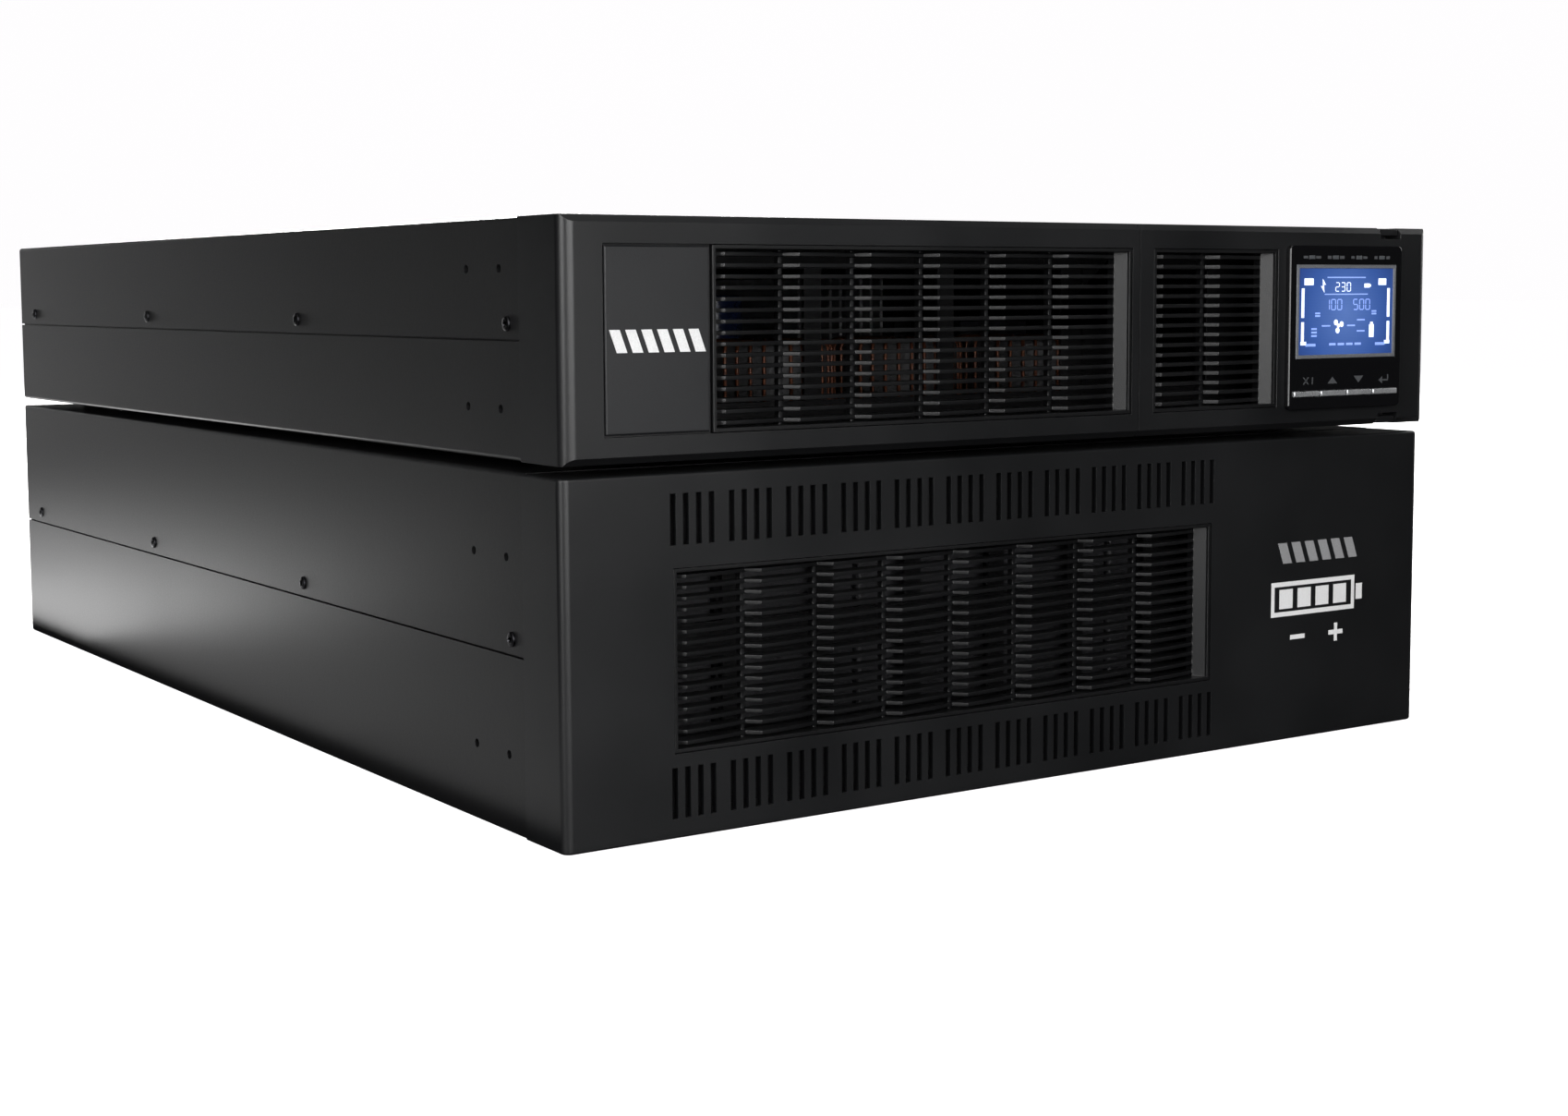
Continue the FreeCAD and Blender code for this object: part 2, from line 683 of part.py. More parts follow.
def pack_front_cover():
    """Moulded front: rounded side edges, one window and two bands of upright slots."""
    z0 = cover_gap
    z1 = pack_height - cover_gap
    back = chassis_front - cover_gap
    outer = box(-half_width, half_width, pack_front, back, z0, z1)
    corners = edges_along(outer, V(0, 0, 1), lambda p: p.y < pack_front + 0.1)
    outer = outer.makeFillet(pack_corner_radius, corners)
    rims = [e for e in outer.Edges if e.BoundBox.YMin < pack_front + pack_corner_radius
            and e.BoundBox.ZLength < 0.01 and e.BoundBox.YMax < back - 1]
    outer = outer.makeFillet(pack_edge_radius, rims)
    inner = box(-half_width + cover_wall, half_width - cover_wall, pack_front + cover_wall, back + 1,
                z0 + cover_wall, z1 - cover_wall)
    cuts = [inner, window_cut(pack_window_left - half_width, pack_window_low, pack_front, pack_waves)]
    for group in range(slot_groups):
        for n in range(slots_in_group):
            x = slot_x(group, n)
            for low in (slot_margin, pack_height - slot_margin - slot_height):
                cuts.append(box(x - slot_width / 2, x + slot_width / 2, pack_front - 1,
                                pack_front + cover_wall + 1, low, low + slot_height))
    bosses = [rod_y(2 * boss_radius, x, pack_front + cover_wall / 2, chassis_front, z)
              for x, z in pack_boss_places()]
    drills = [rod_y(screw_shank_radius, x, chassis_front - screw_length, chassis_front + 1, z)
              for x, z in pack_boss_places()]
    return fuse([outer.cut(cuts)] + bosses).cut(drills)


def battery_origin(row, column):
    """Lowest corner of one battery's case."""
    pitch_x = battery_width + battery_gap
    block_width = battery_columns * pitch_x - battery_gap
    x = -block_width / 2 + column * pitch_x
    y = chassis_front + sheet + battery_front_room + row * (battery_length + battery_gap)
    return x, y, battery_base


def battery_row(row):
    """One row of sealed batteries: case, and a rim band where the lid is welded on."""
    made = []
    for column in range(battery_columns):
        x, y, z = battery_origin(row, column)
        case = box(x, x + battery_width, y, y + battery_length, z, z + battery_height)
        upright = edges_along(case, V(0, 0, 1), lambda p: True)
        case = case.makeFillet(battery_corner, upright)
        groove_top = z + battery_height - battery_lid
        deep = lid_groove[1]
        band = box(x - 1, x + battery_width + 1, y - 1, y + battery_length + 1, groove_top - lid_groove[0], groove_top)
        core = box(x + deep, x + battery_width - deep, y + deep, y + battery_length - deep,
                   groove_top - lid_groove[0] - 1, groove_top + 1)
        made.append(case.cut(band.cut(core)))
    return made


def terminal_places(row, column):
    """Both terminals of one battery: they swap ends from one column to the next."""
    x, y, z = battery_origin(row, column)
    top = z + battery_height
    side = x + (terminal_inset if column % 2 else battery_width - terminal_inset)
    return [(side, y + terminal_inset, top), (side, y + battery_length - terminal_inset, top)]


def battery_terminals():
    made = []
    for row in range(battery_rows):
        for column in range(battery_columns):
            for x, y, z in terminal_places(row, column):
                made.append(block(x, terminal_size[0], y - terminal_size[1] / 2, y + terminal_size[1] / 2,
                                  z + terminal_size[2] / 2, terminal_size[2]))
    return made


def battery_links():
    """Flat straps on top of the terminals: along each column, then across to the next."""
    made = []
    for column in range(battery_columns):
        for row in range(battery_rows - 1):
            x, y0, z = terminal_places(row, column)[1]
            y1 = terminal_places(row + 1, column)[0][1]
            top = z + terminal_size[2]
            made.append(box(x - link_width / 2, x + link_width / 2, y0 - link_overhang, y1 + link_overhang,
                            top, top + link_thickness))
    for column in range(battery_columns - 1):
        row = battery_rows - 1 if column % 2 == 0 else 0
        end = 1 if column % 2 == 0 else 0
        x0, y, z = terminal_places(row, column)[end]
        x1 = terminal_places(row, column + 1)[end][0]
        top = z + terminal_size[2]
        made.append(box(x0 - link_overhang, x1 + link_overhang, y - link_width / 2, y + link_width / 2,
                        top, top + link_thickness))
    return made


def battery_hold_downs():
    """Three steel channels across the batteries, with feet on the tray's bottom."""
    made = []
    top = battery_base + battery_height + hold_down_gap[1]
    block_half = (battery_columns * (battery_width + battery_gap) - battery_gap) / 2
    inner = block_half + hold_down_gap[0]
    outer = inner + hold_down_sheet
    for row in range(battery_rows):
        middle = battery_origin(row, 0)[1] + battery_length / 2
        y0 = middle - hold_down_width / 2
        y1 = middle + hold_down_width / 2
        pieces = [box(-outer, outer, y0, y1, top, top + hold_down_sheet)]
        for lip in (y0, y1 - hold_down_sheet):
            pieces.append(box(-inner, inner, lip, lip + hold_down_sheet, top, battery_base + battery_height
                              + hold_down_height))
        for side in (-1, 1):
            leg = sorted((side * inner, side * outer))
            foot = sorted((side * inner, side * (inner + hold_down_foot)))
            pieces.append(box(leg[0], leg[1], y0, y1, sheet, top + hold_down_sheet))
            pieces.append(box(foot[0], foot[1], y0, y1, sheet, sheet + hold_down_sheet))
        made.append(fuse(pieces))
    return made


def connector_screw_places(x, z):
    reach = connector_size[0] / 2 + connector_screw_reach
    return [(x - reach, z), (x + reach, z)]


def power_connector(x, z):
    """A two-pole battery socket: the housing stands through the panel and has two keyed cavities."""
    face = rear + connector_proud
    body = block(x, connector_size[0], face - connector_size[1], face, z, connector_size[2])
    upright = edges_along(body, V(0, 1, 0), lambda p: True)
    body = body.makeFillet(connector_corner, upright)
    flange = block(x, connector_size[0] + 2 * connector_ear, rear, rear + connector_flange,
                   z, connector_size[2] - connector_flange_step)
    cuts = [rear_drill(cx, cz) for cx, cz in connector_screw_places(x, z)]
    for side in (-1, 1):
        centre = x + side * connector_cavity_pitch / 2
        cuts.append(block(centre, connector_cavity[0], face - connector_cavity_depth, face + 1,
                          z, connector_cavity[1]))
    return fuse([body, flange]).cut(cuts)


def pack_connectors():
    return [power_connector(x, pack_middle) for x in pack_connector_places]


def breaker(x, z):
    """Two-pole circuit breaker behind the panel; its nose stands through, with a slot for the lever."""
    shoulder = rear - panel_sheet
    body = block(x, breaker_size[0], rear - breaker_size[1], shoulder, z, breaker_size[2])
    nose = block(x, breaker_nose[0], shoulder - 1, rear + breaker_nose[1], z, breaker_nose[2])
    inner = breaker_nose[0] - 2 * breaker_cheek
    slot = block(x, inner, rear, rear + breaker_nose[1] + 1, z, breaker_nose[2] + 1)
    pocket = rod_x(lever_hub_radius + lever_gap, x - inner / 2, x + inner / 2, rear + lever_axis, z)
    reach = inner / 2 + lever_pin_length + cover_gap
    pin_hole = rod_x(lever_pin_radius + lever_pin_gap, x - reach, x + reach, rear + lever_axis, z)
    return fuse([body, nose]).cut([slot, pocket, pin_hole])


def breaker_cutout(x, z):
    return rear_opening(x, breaker_nose[0], z, breaker_nose[2])


def breaker_lever(x, z):
    """Hub, two short pins and the handle, which points up and out when the breaker is on."""
    inner = breaker_nose[0] - 2 * breaker_cheek
    y = rear + lever_axis
    hub = rod_x(lever_hub_radius, x - inner / 2 + lever_gap, x + inner / 2 - lever_gap, y, z)
    pin = rod_x(lever_pin_radius, x - inner / 2 - lever_pin_length, x + inner / 2 + lever_pin_length, y, z)
    handle = block(x, inner - 6, y, y + lever_reach, z, lever_thickness)
    tip = edges_along(handle, V(1, 0, 0), lambda p: p.y > y + lever_reach - 1)
    handle = handle.makeFillet(lever_thickness * 0.4, tip)
    handle.rotate(V(x, y, z), V(1, 0, 0), lever_rest_angle)
    return fuse([hub, pin, handle])


def cable(points, radius):
    """A cable that is straight between its points and turns through tangent arcs at them."""
    edges = []
    start = points[0]
    for before, corner, after in zip(points, points[1:], points[2:]):
        into = (corner - before).normalize()
        out = (after - corner).normalize()
        turn = into.getAngle(out)
        shorter = min(corner.distanceToPoint(before), corner.distanceToPoint(after))
        arc_radius = 0.45 * shorter / math.tan(turn / 2)
        reach = arc_radius * math.tan(turn / 2)
        first = corner - into * reach
        last = corner + out * reach
        toward = (out - into).normalize()
        middle = corner + toward * (arc_radius / math.cos(turn / 2) - arc_radius)
        edges.append(Part.makeLine(start, first))
        edges.append(Part.Arc(first, middle, last).toShape())
        start = last
    edges.append(Part.makeLine(start, points[-1]))
    path = Part.Wire(edges)
    profile = Part.Wire(Part.makeCircle(radius, points[0], (points[1] - points[0])))
    tube = path.makePipeShell([profile], True, False)
    print(f"cable {path.Length:.0f} mm long, volume {tube.Volume / (math.pi * radius ** 2 * path.Length):.3f}"
          " of section times length")
    return tube


def pack_cables():
    """The string's two ends, led back from the end terminals to the connectors and the breaker."""
    links = battery_base + battery_height + terminal_size[2] + link_thickness
    made = []
    rows_end = battery_origin(battery_rows - 1, 0)[1] + battery_length
    left_goal = (pack_connector_places[0] - connector_cavity_pitch / 2, rear + connector_proud - connector_size[1])
    right_goal = (pack_breaker_x, rear - breaker_size[1])
    first = terminal_places(0, 0)[0]
    last = terminal_places(0 if battery_columns % 2 == 0 else battery_rows - 1, battery_columns - 1)[0]
    for terminal, goal in ((first, left_goal), (last, right_goal)):
        x, y, z = terminal
        made.append(cable([V(x, y, links), V(x, y, links + cable_rise),
                           V(x, rows_end + cable_bends[0], links + cable_rise),
                           V(x, rows_end + cable_bends[1], pack_middle + cable_drop),
                           V(goal[0], rows_end + cable_bends[2], pack_middle),
                           V(goal[0], goal[1], pack_middle)], cable_radius))
    return made


# ---------------------------------------------------------------- power module case
def ups_tray():
    tray = case_tray(ups_base, ups_seam, ear_holes(ups_base, ups_ear_first, ups_ear_heights[:1]))
    foot = ups_base + sheet / 2
    pillars = [rod_z(pillar_radius, x, y, foot, ups_base + board_lift) for x, y in pillar_places()]
    x, y, z = control_board_place()
    for across in (control_pillars_x[0], control_board_size[0] - control_pillars_x[1]):
        for along in (control_pillars_y[0], control_board_size[1] - control_pillars_y[1]):
            pillars.append(rod_z(pillar_radius, x + across, y + along, foot, z))
    return fuse([tray] + pillars)


def pillar_places():
    x = board_size[0] / 2 - pillar_inset
    y0 = board_front + pillar_inset
    return [(sx * x, y0 + n * (board_size[1] / 2 - pillar_inset)) for sx in (-1, 1) for n in (0, 1, 2)]


def ups_top_cover():
    return case_cover(ups_base, ups_seam, ups_top, ear_holes(ups_base, ups_ear_first, ups_ear_heights[1:]))


def post_places():
    """The four snap posts of the left front cover."""
    return [(x, z) for x in (-half_width + post_inset, cover_split - post_inset)
            for z in (ups_base + post_rise, ups_top - post_rise)]


def boss_places():
    """The four screw bosses of the right front cover."""
    return [(x, z) for x in (cover_split + post_inset, half_width - post_inset)
            for z in (ups_base + post_rise, ups_top - post_rise)]


def ups_front_plate():
    """Steel front of the case, with air openings behind the grilles and holes for the snap posts."""
    plate = flanged_plate(chassis_front, 1, panel_sheet, ups_base + sheet + cover_gap, ups_top - sheet - cover_gap)
    holes = [front_drill(x, z, post_radius + post_gap) for x, z in post_places()]
    holes += [front_drill(x, z) for x, z in boss_places()]
    pitch = wave_pitch * 2
    low = ups_base + plate_opening_margin
    high = ups_top - plate_opening_margin
    for x in [left_window + n * pitch for n in range(left_waves // 2)] + [right_window]:
        holes.append(box(x + plate_opening_sides[0], x + pitch - plate_opening_sides[1],
                         chassis_front - 1, chassis_front + 3, low, high))
    holes.append(front_drill(display_x, display_z, display_wire_hole))
    return plate.cut(holes)


def ups_cover_blank(x0, x1, rounded):
    """Hollow moulding with chamfered top and bottom edges; rounded names the end that is rounded."""
    z0 = ups_base
    z1 = ups_top
    back = chassis_front - cover_gap
    c = ups_edge_chamfer
    outline = [V(x0, ups_front, z0 + c), V(x0, ups_front, z1 - c), V(x0, ups_front + c, z1),
               V(x0, back, z1), V(x0, back, z0), V(x0, ups_front + c, z0)]
    body = prism(outline, V(x1 - x0, 0, 0))
    inner = box(x0 + cover_wall, x1 - cover_wall, ups_front + cover_wall, back + 1,
                z0 + cover_wall, z1 - cover_wall)
    r = ups_corner_radius
    edge = x0 if rounded < 0 else x1
    corner = box(min(edge, edge - rounded * r), max(edge, edge - rounded * r), ups_front, ups_front + r, z0, z1)
    corner = corner.cut(rod_z(r, edge - rounded * r, ups_front + r, z0 - 1, z1 + 1))
    return body.cut([inner, corner])


def left_front_cover():
    """Pulls off forwards: pocket for the badge plate, window for the grille, four snap posts."""
    blank = ups_cover_blank(-half_width, cover_split - cover_gap / 2, -1)
    pocket_left = badge_left - badge_groove - half_width
    pocket = box(pocket_left, left_window, ups_front - 1, ups_front + badge_thickness,
                 ups_window_low, ups_window_low + window_height)
    rim = badge_backing_rim
    backing = box(pocket_left - rim, left_window, ups_front + badge_thickness,
                  ups_front + badge_thickness + badge_backing, ups_window_low - rim,
                  ups_window_low + window_height + rim)
    posts = [rod_y(post_radius, x, ups_front + cover_wall / 2, chassis_front + post_length, z)
             for x, z in post_places()]
    shape = fuse([blank, backing] + posts)
    return shape.cut([pocket, window_cut(left_window, ups_window_low, ups_front, left_waves)])


def badge_plate():
    x0 = badge_left - half_width
    face = ups_front + badge_recess
    plate = box(x0, x0 + badge_width, face, ups_front + badge_thickness,
                ups_window_low + badge_groove, ups_window_low + window_height - badge_groove)
    rim = [e for e in plate.Edges if e.BoundBox.YMax < face + 0.1]
    return plate.makeChamfer(badge_bevel, rim)


def tab_room(side):
    """Notch in the cover's upper (+1) or lower (-1) edge that a lock tab slides in."""
    edge = ups_base + ups_height / 2 + side * ups_height / 2
    deep = edge - side * (tab_size[2] + tab_travel + tab_gap)
    z = sorted((edge + side, deep))
    return box(tab_x - tab_size[0] / 2 - tab_gap, tab_x + tab_size[0] / 2 + tab_gap,
               ups_front - 1, ups_front + tab_setback + tab_size[1] + tab_gap, z[0], z[1])


def right_front_cover():
    """Holds the display: round bore, grille window and the two lock-tab notches."""
    blank = ups_cover_blank(cover_split + cover_gap / 2, half_width, 1)
    bore = rod_y(spigot_radius + spigot_bore_gap, display_x, ups_front - 1, ups_front + cover_wall + 1, display_z)
    walls = []
    for side in (-1, 1):
        room = tab_room(side).BoundBox
        walls.append(box(room.XMin - tab_wall, room.XMax + tab_wall, ups_front + cover_wall / 2, room.YMax + tab_wall,
                         max(room.ZMin - tab_wall, ups_base + cover_wall / 2),
                         min(room.ZMax + tab_wall, ups_top - cover_wall / 2)))
    bosses = [rod_y(boss_radius, x, ups_front + cover_wall / 2, chassis_front, z) for x, z in boss_places()]
    drills = [rod_y(screw_shank_radius, x, chassis_front - screw_length, chassis_front + 1, z)
              for x, z in boss_places()]
    shape = fuse([blank] + walls + bosses)
    return shape.cut([bore, tab_room(-1), tab_room(1),
                      window_cut(right_window, ups_window_low, ups_front, right_waves)] + drills)


def lock_tab(side):
    """Spring tab in the edge of the cover: pressed in, it frees the display to turn."""
    edge = ups_base + ups_height / 2 + side * ups_height / 2
    z = sorted((edge - side * tab_gap, edge - side * (tab_gap + tab_size[2])))
    y0 = ups_front + tab_setback
    tab = box(tab_x - tab_size[0] / 2, tab_x + tab_size[0] / 2, y0, y0 + tab_size[1], z[0], z[1])
    return tab.makeFillet(key_round, edges_along(tab, V(1, 0, 0), lambda p: p.y < y0 + 0.1))


def ups_feet():
    made = []
    for x in (-half_chassis + foot_inset, half_chassis - foot_inset):
        for y in (chassis_front + foot_inset, rear - foot_inset):
            foot = rod_z(foot_radius, x, y, pack_height + foot_rest_gap, ups_base)
            rim = [e for e in foot.Edges if e.BoundBox.ZMax < pack_height + foot_rest_gap + 0.1]
            made.append(foot.makeFillet(foot_round, rim))
    return made


# ---------------------------------------------------------------- display
def screen_box(grow, y0, y1):
    return block(display_x, screen_size[0] + 2 * grow, y0, y1, display_z + screen_rise, screen_size[1] + 2 * grow)


def key_x(n):
    return display_x + (n - 1.5) * key_pitch


def lamp_x(n):
    return display_x + (n - 1.5) * lamp_pitch


def display_housing():
    """Square face plate with pockets for the screen, keys and lamps, on a round spigot."""
    back = display_front + display_plate
    plate = block(display_x, display_size, display_front, back, display_z, display_size)
    corners = edges_along(plate, V(0, 1, 0), lambda p: True)
    plate = plate.makeFillet(display_corner, corners)
    rim = [e for e in plate.Edges if e.BoundBox.YMax < display_front + 0.1]
    plate = plate.makeChamfer(plate_chamfer, rim)
    end = ups_front + cover_wall + spigot_behind
    spigot = rod_y(spigot_radius, display_x, back - 0.5, end, display_z)
    hollow = rod_y(spigot_radius - spigot_wall, display_x, back, end + 1, display_z)
    cuts = [screen_box(screen_frame + inlay_gap, display_front - 1, display_front + screen_depth)]
    for n in range(4):
        cuts.append(block(key_x(n), key_size[0] + 2 * key_gap, display_front - 1, back + 1,
                          display_z - key_drop, key_size[1] + 2 * key_gap))
        cuts.append(block(lamp_x(n), lamp_size[0] + inlay_gap, display_front - 1, display_front + lamp_depth,
                          display_z + lamp_rise, lamp_size[1] + inlay_gap))
    return fuse([plate, spigot.cut(hollow)]).cut(cuts)


def display_screen():
    return screen_box(0.0, display_front + screen_setback, display_front + screen_depth)


def display_frame():
    """Pale trim round the screen."""
    ring = screen_box(screen_frame, display_front - trim_proud, display_front + screen_depth)
    return ring.cut(screen_box(0.02, display_front - 1, display_front + screen_depth + 1))


def display_board():
    """Round circuit board on the spigot's end: wider than the bore, it keeps the display in."""
    y = ups_front + cover_wall + spigot_behind
    board = rod_y(board_radius, display_x, y, y + board_thickness, display_z)
    back = y + board_thickness
    chip = block(display_x, board_chip[0], back, back + board_chip[1], display_z, board_chip[2])
    plug = block(display_x, board_plug[0], back, back + board_plug[1], display_z - board_plug_drop, board_plug[2])
    return fuse([board, chip, plug])


def display_key(n):
    y0 = display_front - key_proud
    key = block(key_x(n), key_size[0], y0, y0 + key_thickness, display_z - key_drop, key_size[1])
    rim = [e for e in key.Edges if e.BoundBox.YMax < y0 + 0.1]
    return key.makeFillet(key_round, rim)


def status_lamps():
    return [block(lamp_x(n), lamp_size[0], display_front - lamp_proud, display_front + lamp_depth,
                  display_z + lamp_rise, lamp_size[1]) for n in range(4)]


# ---------------------------------------------------------------- inside the power module
def power_board():
    z = ups_base + board_lift
    return box(-board_size[0] / 2, board_size[0] / 2, board_front, board_front + board_size[1], z, board_top)


def heatsinks():
    """Two aluminium extrusions with upright fins along the air path."""
    made = []
    y0 = board_front + heatsink_start
    y1 = y0 + heatsink_size[1]
    pitch = (heatsink_size[0] - fin_thickness) / (heatsink_fins - 1)
    for side in (-1, 1):
        x0 = side * heatsink_offset - heatsink_size[0] / 2
        pieces = [box(x0, x0 + heatsink_size[0], y0, y1, board_top, board_top + heatsink_base)]
        for n in range(heatsink_fins):
            x = x0 + n * pitch
            pieces.append(box(x, x + fin_thickness, y0, y1, board_top + heatsink_base / 2,
                              board_top + heatsink_size[2]))
        made.append(fuse(pieces))
    return made


def bus_capacitors():
    made = []
    top = board_top + capacitor_height
    for n in range(capacitor_count):
        y = board_front + capacitor_start + n * (2 * capacitor_radius + capacitor_gap)
        can = rod_z(capacitor_radius, 0.0, y, board_top, top)
        made.append(can.makeFillet(capacitor_round, [e for e in can.Edges if e.BoundBox.ZMin > top - 0.1]))
    return made


def filter_inductors():
    """Ring cores lying on the board near the front."""
    made = []
    top = board_top + inductor_height
    y = board_front + inductor_start
    for n in range(inductor_count):
        x = (n - (inductor_count - 1) / 2) * (2 * inductor_radius + inductor_gap)
        ring = rod_z(inductor_radius, x, y, board_top, top)
        ring = ring.cut(rod_z(inductor_hole, x, y, board_top - 1, top + 1))
        made.append(ring.makeFillet(inductor_round, [e for e in ring.Edges if e.BoundBox.ZLength < 0.01]))
    return made


def board_modules():
    """Relays and the small supply transformer along the board's outer edges."""
    made = []
    width, length, height = module_size
    for side in (-1, 1):
        x = side * (board_size[0] / 2 - width / 2 - module_inset)
        for n in range(modules_each_side):
            y = board_front + module_start + n * (length + module_gap)
            made.append(box(x - width / 2, x + width / 2, y, y + length, board_top, board_top + height))
    return made


def control_board_place():
    """Left, front and lower corner of the board that carries the ports."""
    x = slot_cover_x - control_board_size[0] / 2
    y = rear - panel_sheet - control_board_gap - control_board_size[1]
    return x, y, port_z - usb_size[2] / 2 - board_thickness


def control_board():
    x, y, z = control_board_place()
    top = z + board_thickness
    board = box(x, x + control_board_size[0], y, y + control_board_size[1], z, top)
    across, along, edge, height = control_chip
    chip = box(x + across, x + across + edge, y + along, y + along + edge, top, top + height)
    return fuse([board, chip])


# ---------------------------------------------------------------- rear of the power module
def fan_frame(x):
    """Square frame with a round duct; struts at the inner end carry the motor's base."""
    y1 = rear - panel_sheet
    y0 = y1 - fan_thickness
    z = fan_z
    body = block(x, fan_size, y0, y1, z, fan_size)
    body = body.makeFillet(fan_corner_radius, edges_along(body, V(0, 1, 0), lambda p: True))
    body = body.cut(rod_y(fan_bore_radius, x, y0 - 1, y1 + 1, z))
    base = rod_y(fan_hub_radius, x, y0, y0 + fan_base_thickness, z)
    struts = [block(x, fan_bore_radius * 2 + 2, y0, y0 + fan_base_thickness, z, fan_strut_width),
              block(x, fan_strut_width, y0, y0 + fan_base_thickness, z, fan_bore_radius * 2 + 2)]
    bearing = rod_y(fan_shaft_radius + fan_shaft_gap, x, y0 - 1, y0 + fan_base_thickness + 1, z)
    holes = [rod_y(fan_hole_radius, hx, y0 - 1, y1 + 1, hz) for hx, hz in four_corners(x, z, fan_hole_pitch)]
    return fuse([body, base] + struts).cut([bearing] + holes)


def fan_rotor(x):
    """Hub, shaft and seven pitched blades."""
    y0 = rear - panel_sheet - fan_thickness
    z = fan_z
    hub_start = y0 + fan_base_thickness + fan_end_gap[0]
    hub = rod_y(fan_hub_radius, x, hub_start, hub_start + fan_hub_length, z)
    nose = [e for e in hub.Edges if e.BoundBox.YMin > hub_start + fan_hub_length - 0.1]
    hub = hub.makeFillet(fan_hub_round, nose)
    shaft = rod_y(fan_shaft_radius, x, y0 + fan_end_gap[1], hub_start + 1, z)
    keep = rod_y(fan_blade_radius, x, hub_start + 0.5, hub_start + fan_hub_length - 0.5, z)
    blades = []
    middle = hub_start + fan_hub_length / 2
    for n in range(fan_blades):
        blade = Part.makeBox(fan_blade_radius, fan_blade_thickness, fan_blade_chord,
                             V(x + fan_hub_radius * 0.7, middle - fan_blade_thickness / 2,
                               z - fan_blade_chord / 2))
        blade.rotate(V(x, middle, z), V(1, 0, 0), fan_blade_angle)
        blade.rotate(V(x, middle, z), V(0, 1, 0), n * 360.0 / fan_blades)
        blades.append(blade.common(keep))
    return fuse([hub, shaft] + blades)


def fan_guard(x):
    """Ring guard on the outside of the rear panel, with four feet under the fan screws."""
    z = fan_z
    y1 = rear + guard_wire
    rings = []
    for radius in guard_rings:
        ring = rod_y(radius + guard_wire / 2, x, rear, y1, z)
        rings.append(ring.cut(rod_y(radius - guard_wire / 2, x, rear - 1, y1 + 1, z)))
    spokes = []
    reach = fan_hole_pitch / 2 * math.sqrt(2)
    for turn in (45, 135):
        spoke = block(x, 2 * reach, rear, y1, z, guard_wire * 1.4)
        spoke.rotate(V(x, rear, z), V(0, 1, 0), turn)
        spokes.append(spoke)
    feet = four_corners(x, z, fan_hole_pitch)
    eyes = [rod_y(guard_eye_radius, ex, rear, y1, ez) for ex, ez in feet]
    return fuse(rings + spokes + eyes).cut([rear_drill(ex, ez) for ex, ez in feet])


def fan_screw_places():
    return [place for x in fan_places for place in four_corners(x, fan_z, fan_hole_pitch)]


def ups_rear_panel():
    z0 = ups_base + sheet + cover_gap
    z1 = ups_top - sheet - cover_gap
    panel = flanged_plate(rear, -1, panel_sheet, z0, z1)
    cuts = [breaker_cutout(breaker_x, breaker_z)]
    for x in fan_places:
        cuts.append(rear_drill(x, fan_z, fan_bore_radius - fan_opening_lip))
        cuts.append(block(x, fan_size + opening_gap, rear - panel_flange - 1, rear - panel_sheet,
                          fan_z, fan_size + opening_gap))
    cuts.append(block(slot_cover_x, slot_cover_size[0] - slot_cover_border[0], rear - 5, rear + 1,
                      slot_cover_z, slot_cover_size[1] - slot_cover_border[1]))
    cuts.append(rear_opening(slot_cover_x + serial_offset, serial_shell[0], port_z, serial_shell[1]))
    cuts.append(rear_opening(slot_cover_x + usb_offset, usb_size[0], port_z, usb_size[2]))
    cuts.append(rear_opening(slot_cover_x + off_port_offset, off_port_size[0], off_port_z, off_port_size[2]))
    cuts.append(rear_opening(breaker_x, connector_size[0], ups_connector_z, connector_size[2]))
    cuts.append(rear_opening(terminal_x, terminal_block_size[0], fan_z, terminal_block_size[2]))
    drills = fan_screw_places() + slot_screw_places() + terminal_screw_places()
    drills += connector_screw_places(breaker_x, ups_connector_z)
    cuts += [rear_drill(x, z) for x, z in drills]
    cuts.append(rear_drill(slot_cover_x, stud_z, stud_radius + stud_gap))
    return panel.cut(cuts)


def slot_screw_places():
    reach = slot_cover_size[0] / 2 - slot_screw_inset
    return [(slot_cover_x - reach, slot_cover_z), (slot_cover_x + reach, slot_cover_z)]


def terminal_screw_places():
    reach = terminal_cover_size[0] / 2 - terminal_screw_inset
    return [(terminal_x - reach, fan_z), (terminal_x + reach, fan_z)]


def slot_cover():
    plate = block(slot_cover_x, slot_cover_size[0], rear, rear + panel_sheet, slot_cover_z, slot_cover_size[1])
    plate = plate.makeFillet(slot_cover_corner, edges_along(plate, V(0, 1, 0), lambda p: True))
    return plate.cut([rear_drill(x, z) for x, z in slot_screw_places()])


